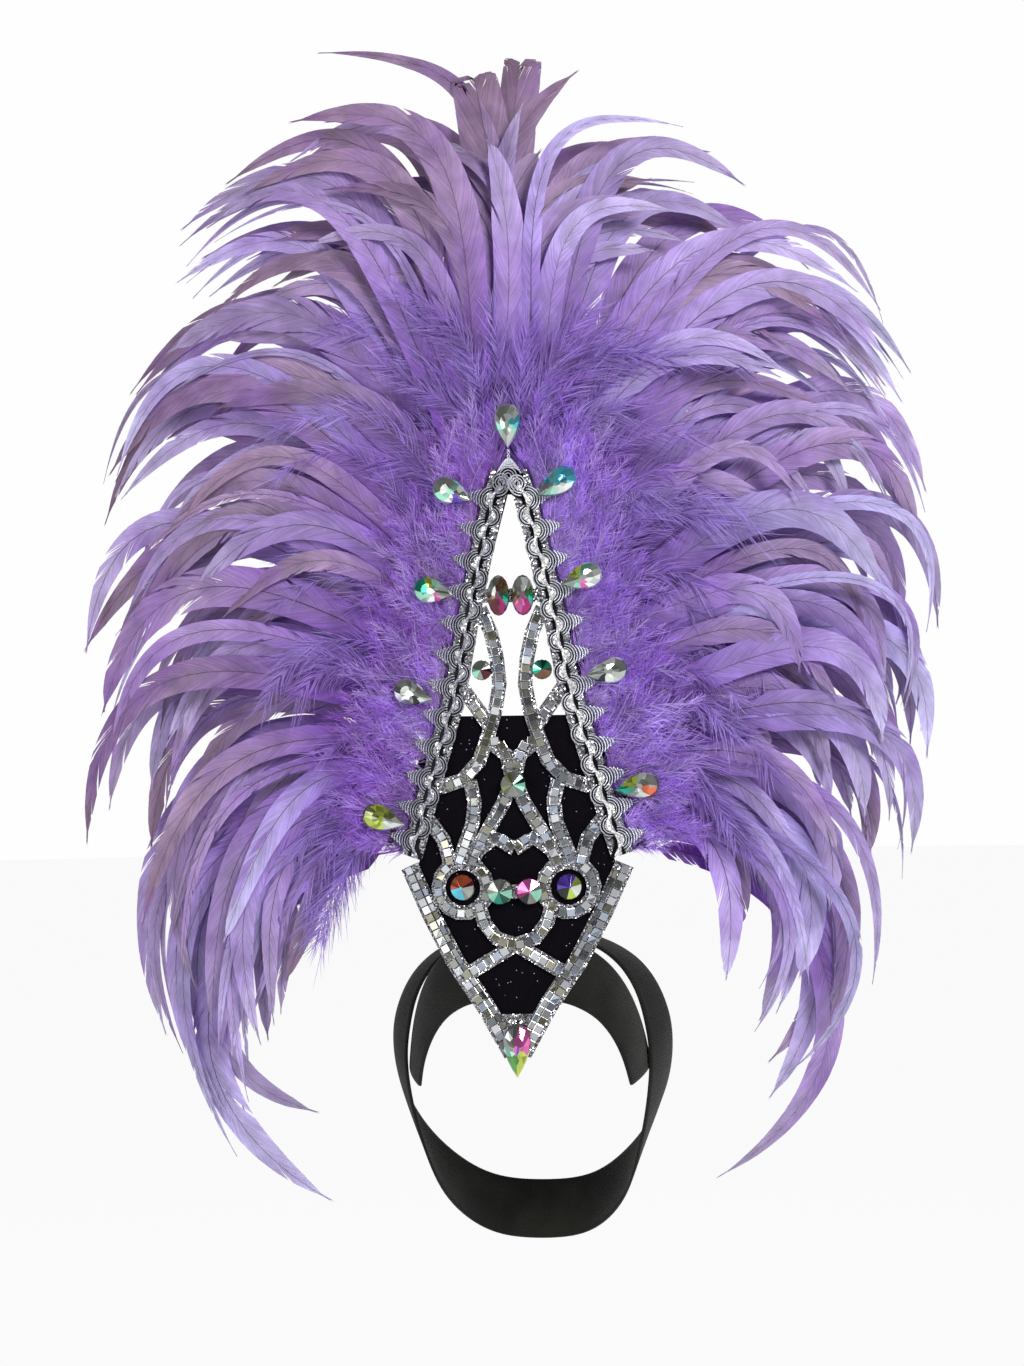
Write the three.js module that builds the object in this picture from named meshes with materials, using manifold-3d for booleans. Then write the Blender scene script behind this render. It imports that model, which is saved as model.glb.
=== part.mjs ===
// A carnival feather headdress: a pierced plate with mirror tape and a velvet panel,
// edged with braid, set with cut stones, backed by sprays of long feathers and fluff,
// and worn by fabric straps. Millimetres, +Z up, the wearer looks toward -Y.
// The origin is the crown of the head, on the plate's centre line.

import * as THREE from "three";
import * as BufferGeometryUtils from "three/addons/utils/BufferGeometryUtils.js";
import Module from "manifold-3d";

// Driving sizes

const plateHalfWidth = 76;
const plateHeight = 397;
const plateTipUp = -74;
const plateFront = -100;
const plateWall = 2;
const plateBow = 18;
const bowSteps = 3;
const bowStep = plateHalfWidth / bowSteps;
const clearance = 0.3;

const legWidth = 14.3;
const stripWidth = 9.4;
const rimWidth = 12.5;
const ringRadius = 16.5;
const barWidth = 9;

const tapeWall = 1.2;
const tapeWidth = 5.2;
const rimTapeWidth = 7.6;
const tapeToBraid = 2.4;

const velvetWall = 1.8;

const braidWall = 2.4;
const braidWidth = 13.7;
const scallopPitch = 20.3;
const scallopReach = 7.8;
const braidCordWidth = 3.4;
const braidCordRise = 1.3;
const wavePoints = 3;
const fanWidth = 13;
const fanHeight = 16.5;

const pearLength = 29;
const pearWidth = 17;
const pearHeight = 6;
const tipPearLength = 35;
const tipPearWidth = 18.2;
const ovalLength = 26.5;
const ovalWidth = 14.6;
const roundStone = 17;
const smallRoundStone = 13.2;
const roundHeight = 5;

const sprayAcross = 300;
const sprayUp = 620;
const featherWidth = 25;
const featherThickness = 1.6;
const quillOffCentre = 0.16;
const rootBehindPlate = 13.5;
const rootTabWidth = 10;
const rootStackBack = 25.5;
const layerSpread = 6;
const layerSpreadGrowth = 0.12;
const sweepBack = 0.12;
const sweepBackGrowth = 0.0006;

const backingWall = 2;
const backingWidth = 20;
const backingInside = 4.5;

const fluffReach = 40;
const fluffRise = 6;
const fluffBase = 1;
const fluffBack = 5;

const strapWall = 2;
const loopAcross = 89;
const loopDepth = 86;
const loopTopUp = 14;
const loopNapeUp = -188;
const loopWidth = 42;
const bandWidth = 42;

// Colours

const looks = {
  glitter: { color: 0xc9c9d0, roughness: 0.45, metalness: 0.7 },
  mirror: { color: 0xe6e8ec, roughness: 0.06, metalness: 1 },
  velvet: { color: 0x0b0a10, roughness: 1, metalness: 0 },
  braid: { color: 0xb4b5bd, roughness: 0.35, metalness: 0.8 },
  crystal: { color: 0xcfe9e4, roughness: 0.03, metalness: 0.2 },
  feather: { color: 0x8f78b8, roughness: 0.75, metalness: 0 },
  fluff: { color: 0x7755b5, roughness: 1, metalness: 0 },
  felt: { color: 0x1b1820, roughness: 1, metalness: 0 },
  strap: { color: 0x22221d, roughness: 0.95, metalness: 0 },
};

const wasm = await Module();
wasm.setup();

const headdress = new THREE.Group();

function addPiece(name, geometry, look) {
  const mesh = new THREE.Mesh(geometry, new THREE.MeshStandardMaterial(looks[look]));
  mesh.name = name;
  headdress.add(mesh);
  return mesh;
}

// Solids: joining and bending

function toSolid(geometry) {
  const plain = geometry.clone();
  plain.deleteAttribute("normal");
  plain.deleteAttribute("uv");
  const merged = BufferGeometryUtils.mergeVertices(plain, 1e-4);
  const vertProperties = Float32Array.from(merged.attributes.position.array);
  const triVerts = Uint32Array.from(merged.index.array);
  return new wasm.Manifold(new wasm.Mesh({ numProp: 3, vertProperties, triVerts }));
}

function pointsOf(geometry) {
  const position = geometry.attributes.position;
  const pointAt = (_, i) => new THREE.Vector3().fromBufferAttribute(position, i);
  return Array.from({ length: position.count }, pointAt);
}

function trianglesOf(geometry) {
  const index = [...geometry.index.array];
  return Array.from({ length: index.length / 3 }, (_, i) => index.slice(3 * i, 3 * i + 3));
}

function fromTriangles(points, triangles) {
  const used = [...new Set(triangles.flat())];
  const place = new Map(used.map((own, i) => [own, i]));
  const geometry = new THREE.BufferGeometry().setFromPoints(used.map((own) => points[own]));
  geometry.setIndex(triangles.flat().map((own) => place.get(own)));
  return geometry;
}

// Joining leaves edges too short to see and triangles too thin to see. Short edges
// close up and thin triangles swap their long side with the neighbour there.
const leastEdge = 0.04;

function closeShortEdges(points, triangles) {
  const target = new Map();
  const final = (own) => {
    let end = own;
    while (target.has(end)) {
      end = target.get(end);
    }
    return end;
  };
  for (const triangle of triangles) {
    for (let i = 0; i < 3; i += 1) {
      const [a, b] = [final(triangle[i]), final(triangle[(i + 1) % 3])];
      if (a !== b && points[a].distanceTo(points[b]) < leastEdge) {
        target.set(Math.max(a, b), Math.min(a, b));
      }
    }
  }
  const moved = triangles.map((triangle) => triangle.map(final));
  return moved.filter(([a, b, c]) => a !== b && b !== c && c !== a);
}

function dropFolded(triangles) {
  const seen = new Map();
  for (const triangle of triangles) {
    const key = [...triangle].sort((a, b) => a - b).join(" ");
    seen.set(key, (seen.get(key) ?? []).concat([triangle]));
  }
  return [...seen.values()].filter((alike) => alike.length === 1).flat();
}

function swapThin(points, triangles) {
  const owner = new Map();
  triangles.forEach((triangle, own) => {
    triangle.forEach((a, i) => owner.set(`${a} ${triangle[(i + 1) % 3]}`, own));
  });
  const done = new Set();
  let swaps = 0;
  triangles.forEach((triangle, own) => {
    const lengths = triangle.map((a, i) => points[a].distanceTo(points[triangle[(i + 1) % 3]]));
    const start = lengths.indexOf(Math.max(...lengths));
    const [a, b, c] = [0, 1, 2].map((step) => triangle[(start + step) % 3]);
    const [ab, ac] = [points[b].clone().sub(points[a]), points[c].clone().sub(points[a])];
    const other = owner.get(`${b} ${a}`);
    if (ab.cross(ac).length() / lengths[start] > leastEdge / 2 || done.has(own) || done.has(other)) {
      return;
    }
    const d = triangles[other].find((corner) => corner !== a && corner !== b);
    if (owner.has(`${c} ${d}`) || owner.has(`${d} ${c}`)) {
      return;
    }
    triangles[own] = [a, d, c];
    triangles[other] = [d, b, c];
    done.add(own).add(other);
    swaps += 1;
  });
  return swaps;
}

function tidied(geometry) {
  const points = pointsOf(geometry);
  let triangles = trianglesOf(geometry);
  for (let pass = 0; pass < 12; pass += 1) {
    const count = triangles.length;
    triangles = dropFolded(closeShortEdges(points, triangles));
    if (swapThin(points, triangles) === 0 && triangles.length === count) {
      break;
    }
  }
  return fromTriangles(points, triangles);
}

function toGeometry(solid) {
  const mesh = solid.getMesh();
  const geometry = new THREE.BufferGeometry();
  geometry.setAttribute("position", new THREE.BufferAttribute(Float32Array.from(mesh.vertProperties), 3));
  geometry.setIndex([...mesh.triVerts]);
  return tidied(BufferGeometryUtils.mergeVertices(geometry, 1e-4));
}

function join(geometries) {
  const solids = geometries.map(toSolid);
  return toGeometry(solids.reduce((whole, next) => whole.add(next)));
}

// How far the bowed plate falls back from its middle. It is straight between
// stations one bow step apart, so that every layer bends in the same facets.
function bowAt(across) {
  const reach = Math.min(Math.abs(across), plateHalfWidth);
  const index = Math.floor(reach / bowStep);
  const share = reach / bowStep - index;
  const depth = (station) => plateBow * (station * bowStep / plateHalfWidth) ** 2;
  return depth(index) + share * (depth(index + 1) - depth(index));
}

// Splits every triangle that crosses the upright plane at x = across
function splitAt(points, triangles, across) {
  const halfway = new Map();
  const crossing = (a, b) => {
    const key = a < b ? `${a} ${b}` : `${b} ${a}`;
    if (!halfway.has(key)) {
      const [low, high] = a < b ? [points[a], points[b]] : [points[b], points[a]];
      const point = low.clone().lerp(high, (across - low.x) / (high.x - low.x));
      point.x = across;
      halfway.set(key, points.push(point) - 1);
    }
    return halfway.get(key);
  };
  const side = (index) => {
    const offset = points[index].x - across;
    return Math.abs(offset) < leastEdge / 4 ? 0 : Math.sign(offset);
  };
  const result = [];
  for (const triangle of triangles) {
    const sides = triangle.map(side);
    if (!(sides.includes(1) && sides.includes(-1))) {
      result.push(triangle);
      continue;
    }
    const alone = (own, i) => own !== 0 && own !== sides[(i + 1) % 3] && own !== sides[(i + 2) % 3];
    const start = sides.findIndex(alone);
    const [a, b, c] = [0, 1, 2].map((step) => triangle[(start + step) % 3]);
    const [sideB, sideC] = [side(b), side(c)];
    if (sideB === 0) {
      const cut = crossing(a, c);
      result.push([a, b, cut], [b, c, cut]);
    } else if (sideC === 0) {
      const cut = crossing(a, b);
      result.push([a, cut, c], [cut, b, c]);
    } else {
      const cutB = crossing(a, b);
      const cutC = crossing(a, c);
      result.push([a, cutB, cutC], [cutB, b, c], [cutB, c, cutC]);
    }
  }
  return result;
}

// Bends a flat layer to the plate's bow
function bowed(geometry) {
  const plain = geometry.clone();
  plain.deleteAttribute("normal");
  plain.deleteAttribute("uv");
  const merged = BufferGeometryUtils.mergeVertices(plain, 1e-4);
  const points = pointsOf(merged);
  let triangles = trianglesOf(merged);
  for (let station = -bowSteps; station <= bowSteps; station += 1) {
    triangles = splitAt(points, triangles, station * bowStep);
  }
  for (const point of points) {
    point.y += bowAt(point.x);
  }
  return tidied(fromTriangles(points, triangles));
}

// A skin through rings of equal count, with flat ends or closed on itself. Where the
// diagonals alternate, a thin blade's front and back run side by side as it twists.
function loft(rings, { closed = false, alternate = false } = {}) {
  const count = rings[0].length;
  const points = rings.flat();
  const index = [];
  const spans = closed ? rings.length : rings.length - 1;
  for (let ring = 0; ring < spans; ring += 1) {
    for (let i = 0; i < count; i += 1) {
      const a = ring * count + i;
      const b = ring * count + (i + 1) % count;
      const shift = ((ring + 1) % rings.length) * count;
      const c = shift + i;
      const d = shift + (i + 1) % count;
      index.push(...(alternate && i % 2 ? [a, b, c, b, d, c] : [a, b, d, a, d, c]));
    }
  }
  if (!closed) {
    const last = (rings.length - 1) * count;
    for (let i = 1; i < count - 1; i += 1) {
      index.push(0, i + 1, i, last, last + i, last + i + 1);
    }
  }
  const geometry = new THREE.BufferGeometry().setFromPoints(points);
  geometry.setIndex(index);
  return facingOut(BufferGeometryUtils.mergeVertices(geometry, 1e-4));
}

function facingOut(geometry) {
  const position = geometry.attributes.position;
  const corner = (i) => new THREE.Vector3().fromBufferAttribute(position, geometry.index.getX(i));
  let volume = 0;
  for (let i = 0; i < geometry.index.count; i += 3) {
    volume += corner(i).dot(corner(i + 1).cross(corner(i + 2)));
  }
  if (volume < 0) {
    const flipped = [];
    for (let i = 0; i < geometry.index.count; i += 3) {
      flipped.push(geometry.index.getX(i), geometry.index.getX(i + 2), geometry.index.getX(i + 1));
    }
    geometry.setIndex(flipped);
  }
  return geometry;
}

// Flat work on the plate's face: points run across and up in millimetres,
// and depths run back from the plate's front

function onPlate({ across, up }) {
  return new THREE.Vector2(across * plateHalfWidth, plateTipUp + up * plateHeight);
}

function mirrored(points) {
  return points.map((point) => new THREE.Vector2(-point.x, point.y));
}

function slab(outline, front, back) {
  return shapeSlab(new THREE.Shape(outline), front, back);
}

function shapeSlab(shape, front, back) {
  const geometry = new THREE.ExtrudeGeometry(shape, { depth: back - front, bevelEnabled: false });
  geometry.rotateX(Math.PI / 2);
  geometry.translate(0, plateFront + back, 0);
  return geometry;
}

function smooth(points, step) {
  const curve = new THREE.SplineCurve(points);
  return curve.getSpacedPoints(Math.max(2, Math.ceil(curve.getLength() / step)));
}

// The direction to the right of travel at each point of a path
function rightOf(points, index) {
  const before = points[Math.max(0, index - 1)];
  const after = points[Math.min(points.length - 1, index + 1)];
  const along = after.clone().sub(before).normalize();
  return new THREE.Vector2(along.y, -along.x);
}

function strip(points, halfRight, halfLeft = halfRight) {
  const right = points.map((point, i) => point.clone().addScaledVector(rightOf(points, i), halfRight(i)));
  const left = points.map((point, i) => point.clone().addScaledVector(rightOf(points, i), -halfLeft(i)));
  return right.concat(left.reverse());
}

function ringSegment(centre, radius, width, sides) {
  const corner = (index, reach) => {
    const turn = index / sides * 2 * Math.PI;
    return new THREE.Vector2(centre.x + reach * Math.cos(turn), centre.y + reach * Math.sin(turn));
  };
  const outer = Array.from({ length: sides }, (_, i) => corner(i, radius + width / 2));
  const hole = Array.from({ length: sides }, (_, i) => corner(-i, radius - width / 2));
  return { outer, hole };
}

// The pierced plate: middles of its strips on the right half, as shares of the plate

const legMiddle = [
  { across: 0.06, up: 0.992 },
  { across: 0.10, up: 0.972 },
  { across: 0.17, up: 0.923 },
  { across: 0.27, up: 0.841 },
  { across: 0.39, up: 0.735 },
  { across: 0.50, up: 0.628 },
  { across: 0.68, up: 0.511 },
  { across: 0.81, up: 0.424 },
  { across: 0.91, up: 0.362 },
];

const rimMiddle = [
  { across: 0.93, up: 0.347 },
  { across: 0.77, up: 0.279 },
  { across: 0.54, up: 0.194 },
  { across: 0.27, up: 0.118 },
  { across: 0.04, up: 0.040 },
];

const vaseStrip = [
  { across: 0.27, up: 0.770 },
  { across: 0.20, up: 0.745 },
  { across: 0.13, up: 0.688 },
  { across: 0.11, up: 0.645 },
  { across: 0.15, up: 0.602 },
  { across: 0.24, up: 0.548 },
  { across: 0.33, up: 0.508 },
  { across: 0.46, up: 0.488 },
  { across: 0.66, up: 0.476 },
];

const branchStrip = [
  { across: 0.45, up: 0.645 },
  { across: 0.32, up: 0.610 },
  { across: 0.20, up: 0.578 },
];

const curlStrip = [
  { across: 0.20, up: 0.552 },
  { across: 0.11, up: 0.550 },
  { across: 0.04, up: 0.520 },
  { across: 0.01, up: 0.490 },
];

const archStrip = [
  { across: 0.01, up: 0.488 },
  { across: 0.13, up: 0.435 },
  { across: 0.24, up: 0.405 },
  { across: 0.38, up: 0.350 },
];

const hourglassStrip = [
  { across: 0.38, up: 0.488 },
  { across: 0.34, up: 0.455 },
  { across: 0.36, up: 0.418 },
  { across: 0.42, up: 0.388 },
  { across: 0.49, up: 0.352 },
];

const thornStrip = [
  { across: 0.75, up: 0.424 },
  { across: 0.62, up: 0.391 },
  { across: 0.56, up: 0.350 },
];

const cuspStrip = [
  { across: 0.33, up: 0.372 },
  { across: 0.14, up: 0.395 },
  { across: 0.00, up: 0.376 },
];

const bowlStrip = [
  { across: 0.32, up: 0.288 },
  { across: 0.25, up: 0.246 },
  { across: 0.13, up: 0.225 },
  { across: 0.00, up: 0.219 },
];

const chevronStrip = [
  { across: 0.00, up: 0.219 },
  { across: 0.20, up: 0.196 },
  { across: 0.46, up: 0.166 },
];

const ringMiddle = { across: 0.455, up: 0.312 };
const stoneBar = { across: 0.25, up: 0.306 };
const crossBar = { across: 0.30, up: 0.791 };
const curvedStrips = [
  vaseStrip,
  branchStrip,
  curlStrip,
  archStrip,
  hourglassStrip,
  thornStrip,
  cuspStrip,
  bowlStrip,
  chevronStrip,
];
const stripStep = 18;
const tapeStep = 12;
const ringSides = 14;

function bothSides(points, half) {
  const outline = strip(points, () => half);
  return [outline, mirrored(outline).reverse()];
}

function acrossBar({ across, up }, height) {
  const end = onPlate({ across, up });
  return strip([new THREE.Vector2(-end.x, end.y), end], () => height / 2);
}

function ringSolids(width, front, back) {
  const centre = onPlate(ringMiddle);
  return [centre, new THREE.Vector2(-centre.x, centre.y)].map((middle) => {
    const { outer, hole } = ringSegment(middle, ringRadius, width, ringSides);
    const shape = new THREE.Shape(outer);
    shape.holes.push(new THREE.Path(hole));
    return shapeSlab(shape, front, back);
  });
}

function tipPlate() {
  const top = onPlate({ across: 0.16, up: 0.105 });
  return [new THREE.Vector2(-top.x, top.y), new THREE.Vector2(0, plateTipUp), top];
}

function frontLattice() {
  const outlines = [
    ...bothSides(smooth(legMiddle.map(onPlate), stripStep), legWidth / 2),
    ...bothSides(smooth(rimMiddle.map(onPlate), 2 * stripStep), rimWidth / 2),
    ...curvedStrips.flatMap((middle) => bothSides(smooth(middle.map(onPlate), stripStep), stripWidth / 2)),
    acrossBar(stoneBar, barWidth),
    acrossBar(crossBar, barWidth),
    tipPlate(),
  ];
  const solids = outlines.map((outline) => slab(outline, 0, plateWall));
  return bowed(join(solids.concat(ringSolids(stripWidth, 0, plateWall))));
}

// Mirror tape runs along the strips and doubles on the rim. It stops short of
// the braid, which covers the legs.
function mirrorTape() {
  const back = -clearance;
  const front = back - tapeWall;
  const legs = smooth(legMiddle.map(onPlate), stripStep);
  const clearOfBraid = (point) => {
    const reach = new THREE.Vector2(Math.abs(point.x), point.y);
    const near = Math.min(...legs.map((leg) => leg.distanceTo(reach)));
    return near > braidWidth / 2 + tapeWidth / 2 + tapeToBraid;
  };
  const clearRun = (middle, step) => {
    const fine = smooth(middle.map(onPlate), 1).filter(clearOfBraid);
    const spans = Math.ceil((fine.length - 1) / step);
    return Array.from({ length: spans + 1 }, (_, i) => fine[Math.round(i / spans * (fine.length - 1))]);
  };
  const rim = clearRun(rimMiddle, 3 * tapeStep);
  const outlines = curvedStrips.flatMap((middle) => bothSides(clearRun(middle, tapeStep), tapeWidth / 2));
  outlines.push(...bothSides(rim, rimTapeWidth / 2));
  const solids = outlines.map((outline) => slab(outline, front, back));
  return bowed(join(solids.concat(ringSolids(tapeWidth, front, back))));
}

const velvetEdge = [
  { across: 0.467, up: 0.594 },
  { across: 0.60, up: 0.505 },
  { across: 0.82, up: 0.368 },
  { across: 0.88, up: 0.335 },
  { across: 0.73, up: 0.272 },
  { across: 0.10, up: 0.082 },
];

function velvetPanel() {
  const right = velvetEdge.map(onPlate);
  const outline = right.concat(mirrored(right).reverse());
  const front = plateWall + clearance;
  return bowed(slab(outline, front, front + velvetWall));
}

addPiece("front_lattice", frontLattice(), "glitter");
addPiece("mirror_tape", mirrorTape(), "mirror");
addPiece("velvet_panel", velvetPanel(), "velvet");

// Braid: a band with a wavy raised cord and a scallop that steps out at every pitch

const scallopProfile = [
  { along: 0.00, reach: 0.05 },
  { along: 0.28, reach: 0.62 },
  { along: 0.50, reach: 1.00 },
  { along: 0.72, reach: 0.62 },
];

// Points along a path at given distances from its start
function alongPath(points, distances) {
  const curve = new THREE.SplineCurve(points);
  const length = curve.getLength();
  const within = distances.filter((distance) => distance <= length);
  return within.map((distance) => curve.getPointAt(distance / length));
}

function braidSide(mirror) {
  const legs = legMiddle.slice(1).map(onPlate);
  const length = new THREE.SplineCurve(legs).getLength();
  const scallops = Math.floor(length / scallopPitch);
  const pitch = length / scallops;
  const distances = [];
  const reaches = [];
  for (let scallop = 0; scallop < scallops; scallop += 1) {
    for (const { along, reach } of scallopProfile) {
      distances.push((scallop + along) * pitch);
      reaches.push(reach * scallopReach);
    }
  }
  const middle = alongPath(legs, distances);
  const half = braidWidth / 2;
  const outline = strip(middle, () => half, (i) => half + reaches[i]);
  const back = -clearance;
  const front = back - braidWall;
  const waveSteps = wavePoints * scallops;
  const waveDistances = Array.from({ length: waveSteps }, (_, i) => (i + 0.5) * length / waveSteps);
  const base = alongPath(legs, waveDistances);
  const swing = half - braidCordWidth / 2 - 1;
  const wave = base.map((point, i) => {
    const offset = swing * Math.sin(2 * Math.PI * waveDistances[i] / pitch);
    return point.clone().addScaledVector(rightOf(base, i), offset);
  });
  const cord = strip(wave, () => braidCordWidth / 2);
  const solids = [outline, cord].map((edge, i) => {
    const placed = mirror ? mirrored(edge).reverse() : edge;
    return slab(placed, i ? front - braidCordRise : front, back);
  });
  return bowed(join(solids));
}

// The fan at the apex narrows in three lobes up to the top stone
function braidFan() {
  const foot = onPlate({ across: 0, up: 0.9885 });
  const lobes = [
    { across: 0.50, up: -0.20 },
    { across: 0.50, up: 0.15 },
    { across: 0.34, up: 0.26 },
    { across: 0.36, up: 0.42 },
    { across: 0.20, up: 0.52 },
    { across: 0.22, up: 0.66 },
    { across: 0.10, up: 0.76 },
    { across: 0.10, up: 1.00 },
  ];
  const right = lobes.map(({ across, up }) => new THREE.Vector2(across * fanWidth, foot.y + up * fanHeight));
  const outline = right.concat(mirrored(right).reverse());
  const front = -clearance - braidWall;
  return bowed(slab(outline, front, front + braidWall));
}

addPiece("braid_left", braidSide(true), "braid");
addPiece("braid_right", braidSide(false), "braid");
addPiece("braid_apex_fan", braidFan(), "braid");

// Cut stones: a flat back, a girdle, crown facets and a table

const stoneRings = [
  { size: 0.86, rise: 0 },
  { size: 1.00, rise: 0.28 },
  { size: 0.80, rise: 0.66 },
  { size: 0.46, rise: 1.00 },
];

function pearPoint(turn) {
  const widest = 0.77;
  return new THREE.Vector2(Math.sin(turn) * Math.sin(turn / 2) / widest, Math.cos(turn));
}

function roundPoint(turn) {
  return new THREE.Vector2(Math.sin(turn), Math.cos(turn));
}

function cutStone({ shape, sides, width, length, height }) {
  const rings = stoneRings.map(({ size, rise }) => Array.from({ length: sides }, (_, i) => {
    const point = shape(i / sides * 2 * Math.PI);
    return new THREE.Vector3(point.x * size * width / 2, -rise * height, point.y * size * length / 2);
  }));
  return loft(rings);
}

// Places a stone with its flat back at a depth, turned in the plate's face
function placeStone(name, geometry, span, { across, up, depth, turn = 0 }) {
  const point = onPlate({ across, up });
  const [before, after] = [bowAt(point.x - span / 2), bowAt(point.x + span / 2)];
  const slope = (after - before) / span;
  const fallBack = Math.min(bowAt(point.x), (before + after) / 2);
  const mesh = addPiece(name, geometry, "crystal");
  mesh.position.set(point.x, plateFront + fallBack + depth, point.y);
  mesh.rotation.order = "ZYX";
  mesh.rotation.set(0, THREE.MathUtils.degToRad(turn), Math.atan(slope));
  return mesh;
}

const onLattice = -clearance;
const onTape = -tapeWall - 2 * clearance;
const onVelvet = plateWall;
const onFluff = fluffBase - fluffRise - 2 * clearance;

// Turn is in degrees from point up, toward the right, and bedded is how far the stone
// sinks into the down
const pearStones = [
  { name: "pear_top", across: 0.00, up: 1.068, turn: 180, bedded: 0.6 },
  { name: "pear_left_1", across: -0.48, up: 0.961, turn: 114, bedded: 0.2 },
  { name: "pear_right_1", across: 0.40, up: 0.972, turn: -123, bedded: 0.7 },
  { name: "pear_left_2", across: -0.66, up: 0.800, turn: 102, bedded: 0.8 },
  { name: "pear_right_2", across: 0.60, up: 0.818, turn: -109, bedded: 0.5 },
  { name: "pear_left_3", across: -0.86, up: 0.632, turn: 106, bedded: 1.1 },
  { name: "pear_right_3", across: 0.80, up: 0.664, turn: -102, bedded: 0.3 },
  { name: "pear_left_4", across: -1.14, up: 0.426, turn: 107, bedded: 0.5 },
  { name: "pear_right_4", across: 1.05, up: 0.475, turn: -99, bedded: 0.5 },
];

const roundStones = [
  { name: "stone_vase_left", across: -0.258, up: 0.669, size: smallRoundStone, depth: onLattice },
  { name: "stone_vase_right", across: 0.258, up: 0.669, size: smallRoundStone, depth: onLattice },
  { name: "stone_centre", across: 0.00, up: 0.481, size: roundStone, depth: onTape },
  { name: "stone_ring_left", across: -0.455, up: 0.312, size: roundStone, depth: onVelvet },
  { name: "stone_ring_right", across: 0.455, up: 0.312, size: roundStone, depth: onVelvet },
  { name: "stone_bar_left", across: -0.125, up: 0.306, size: roundStone, depth: onTape },
  { name: "stone_bar_right", across: 0.125, up: 0.306, size: roundStone, depth: onTape },
];

for (const stone of pearStones) {
  const cut = { shape: pearPoint, sides: 10, width: pearWidth, length: pearLength, height: pearHeight };
  placeStone(stone.name, cutStone(cut), pearLength, { ...stone, depth: onFluff + stone.bedded });
}
for (const stone of roundStones) {
  const cut = { shape: roundPoint, sides: 10, width: stone.size, length: stone.size, height: roundHeight };
  placeStone(stone.name, cutStone(cut), stone.size, stone);
}
for (const side of [-1, 1]) {
  const cut = { shape: roundPoint, sides: 10, width: ovalWidth, length: ovalLength, height: pearHeight };
  const name = side < 0 ? "oval_left" : "oval_right";
  placeStone(name, cutStone(cut), ovalWidth, { across: side * 0.103, up: 0.791, depth: onLattice });
}
const tipCut = {
  shape: pearPoint,
  sides: 12,
  width: tipPearWidth,
  length: tipPearLength,
  height: pearHeight,
};
placeStone("pear_tip", cutStone(tipCut), tipPearWidth, { across: 0, up: 0.046, depth: onTape, turn: 180 });

// The feather sheet: every plume lies in one curved sheet that leaves the plate's
// legs and sweeps back, and a plume's layer moves it forward or back in the sheet

const legPath = smooth(legMiddle.map(onPlate), 12);

function distanceFromLegs(across, up) {
  const point = new THREE.Vector2(Math.abs(across), up);
  let nearest = Infinity;
  for (let i = 0; i + 1 < legPath.length; i += 1) {
    const span = legPath[i + 1].clone().sub(legPath[i]);
    const share = THREE.MathUtils.clamp(point.clone().sub(legPath[i]).dot(span) / span.lengthSq(), 0, 1);
    nearest = Math.min(nearest, point.distanceTo(legPath[i].clone().addScaledVector(span, share)));
  }
  return nearest;
}

function sheetDepth(across, up, layer) {
  const distance = distanceFromLegs(across, up);
  const middle = rootBehindPlate + sweepBack * distance + sweepBackGrowth * distance ** 2;
  return plateFront + bowAt(across) + middle + layer * (layerSpread + layerSpreadGrowth * distance);
}

// A plume along a curve from its root on the leg to its tip. Lift and hook are
// the directions of its root and tip, in degrees from straight up, outward.

const plumeStations = [
  { along: 0.00, wide: 0.25 },
  { along: 0.15, wide: 0.62 },
  { along: 0.34, wide: 0.92 },
  { along: 0.52, wide: 1.00 },
  { along: 0.68, wide: 0.90 },
  { along: 0.82, wide: 0.66 },
  { along: 0.92, wide: 0.38 },
  { along: 1.00, wide: 0.06 },
];

function plumeCurve({ from, lift, across, up, hook }, side) {
  const legs = new THREE.SplineCurve(legPath);
  const root = legs.getPointAt(from);
  const tip = new THREE.Vector2(across * sprayAcross, up * sprayUp);
  const arm = (0.36 + 0.0018 * Math.abs(hook - lift)) * root.distanceTo(tip);
  const heading = (degrees) => {
    const turn = THREE.MathUtils.degToRad(degrees);
    return new THREE.Vector2(Math.sin(turn), Math.cos(turn));
  };
  const leave = root.clone().addScaledVector(heading(lift), arm);
  const arrive = tip.clone().addScaledVector(heading(hook), -arm);
  const onSide = (point) => new THREE.Vector2(side * point.x, point.y);
  return new THREE.CubicBezierCurve(onSide(root), onSide(leave), onSide(arrive), onSide(tip));
}

function plume(row, side, layer) {
  const curve = plumeCurve(row, side);
  const rings = plumeStations.map(({ along, wide }) => {
    const middle = curve.getPointAt(along);
    const heading = curve.getTangentAt(along);
    const half = wide * row.wide * featherWidth / 2;
    const thick = featherThickness / 2 * Math.min(1, 0.3 + wide);
    const edge = (reach, rise) => {
      const x = middle.x + reach * heading.y;
      const z = middle.y - reach * heading.x;
      return new THREE.Vector3(x, sheetDepth(x, z, layer) + rise, z);
    };
    const ridge = quillOffCentre * half;
    return [edge(-ridge, -thick), edge(half, 0), edge(ridge, thick), edge(-half, 0)];
  });
  return loft(rings, { alternate: true });
}

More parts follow.
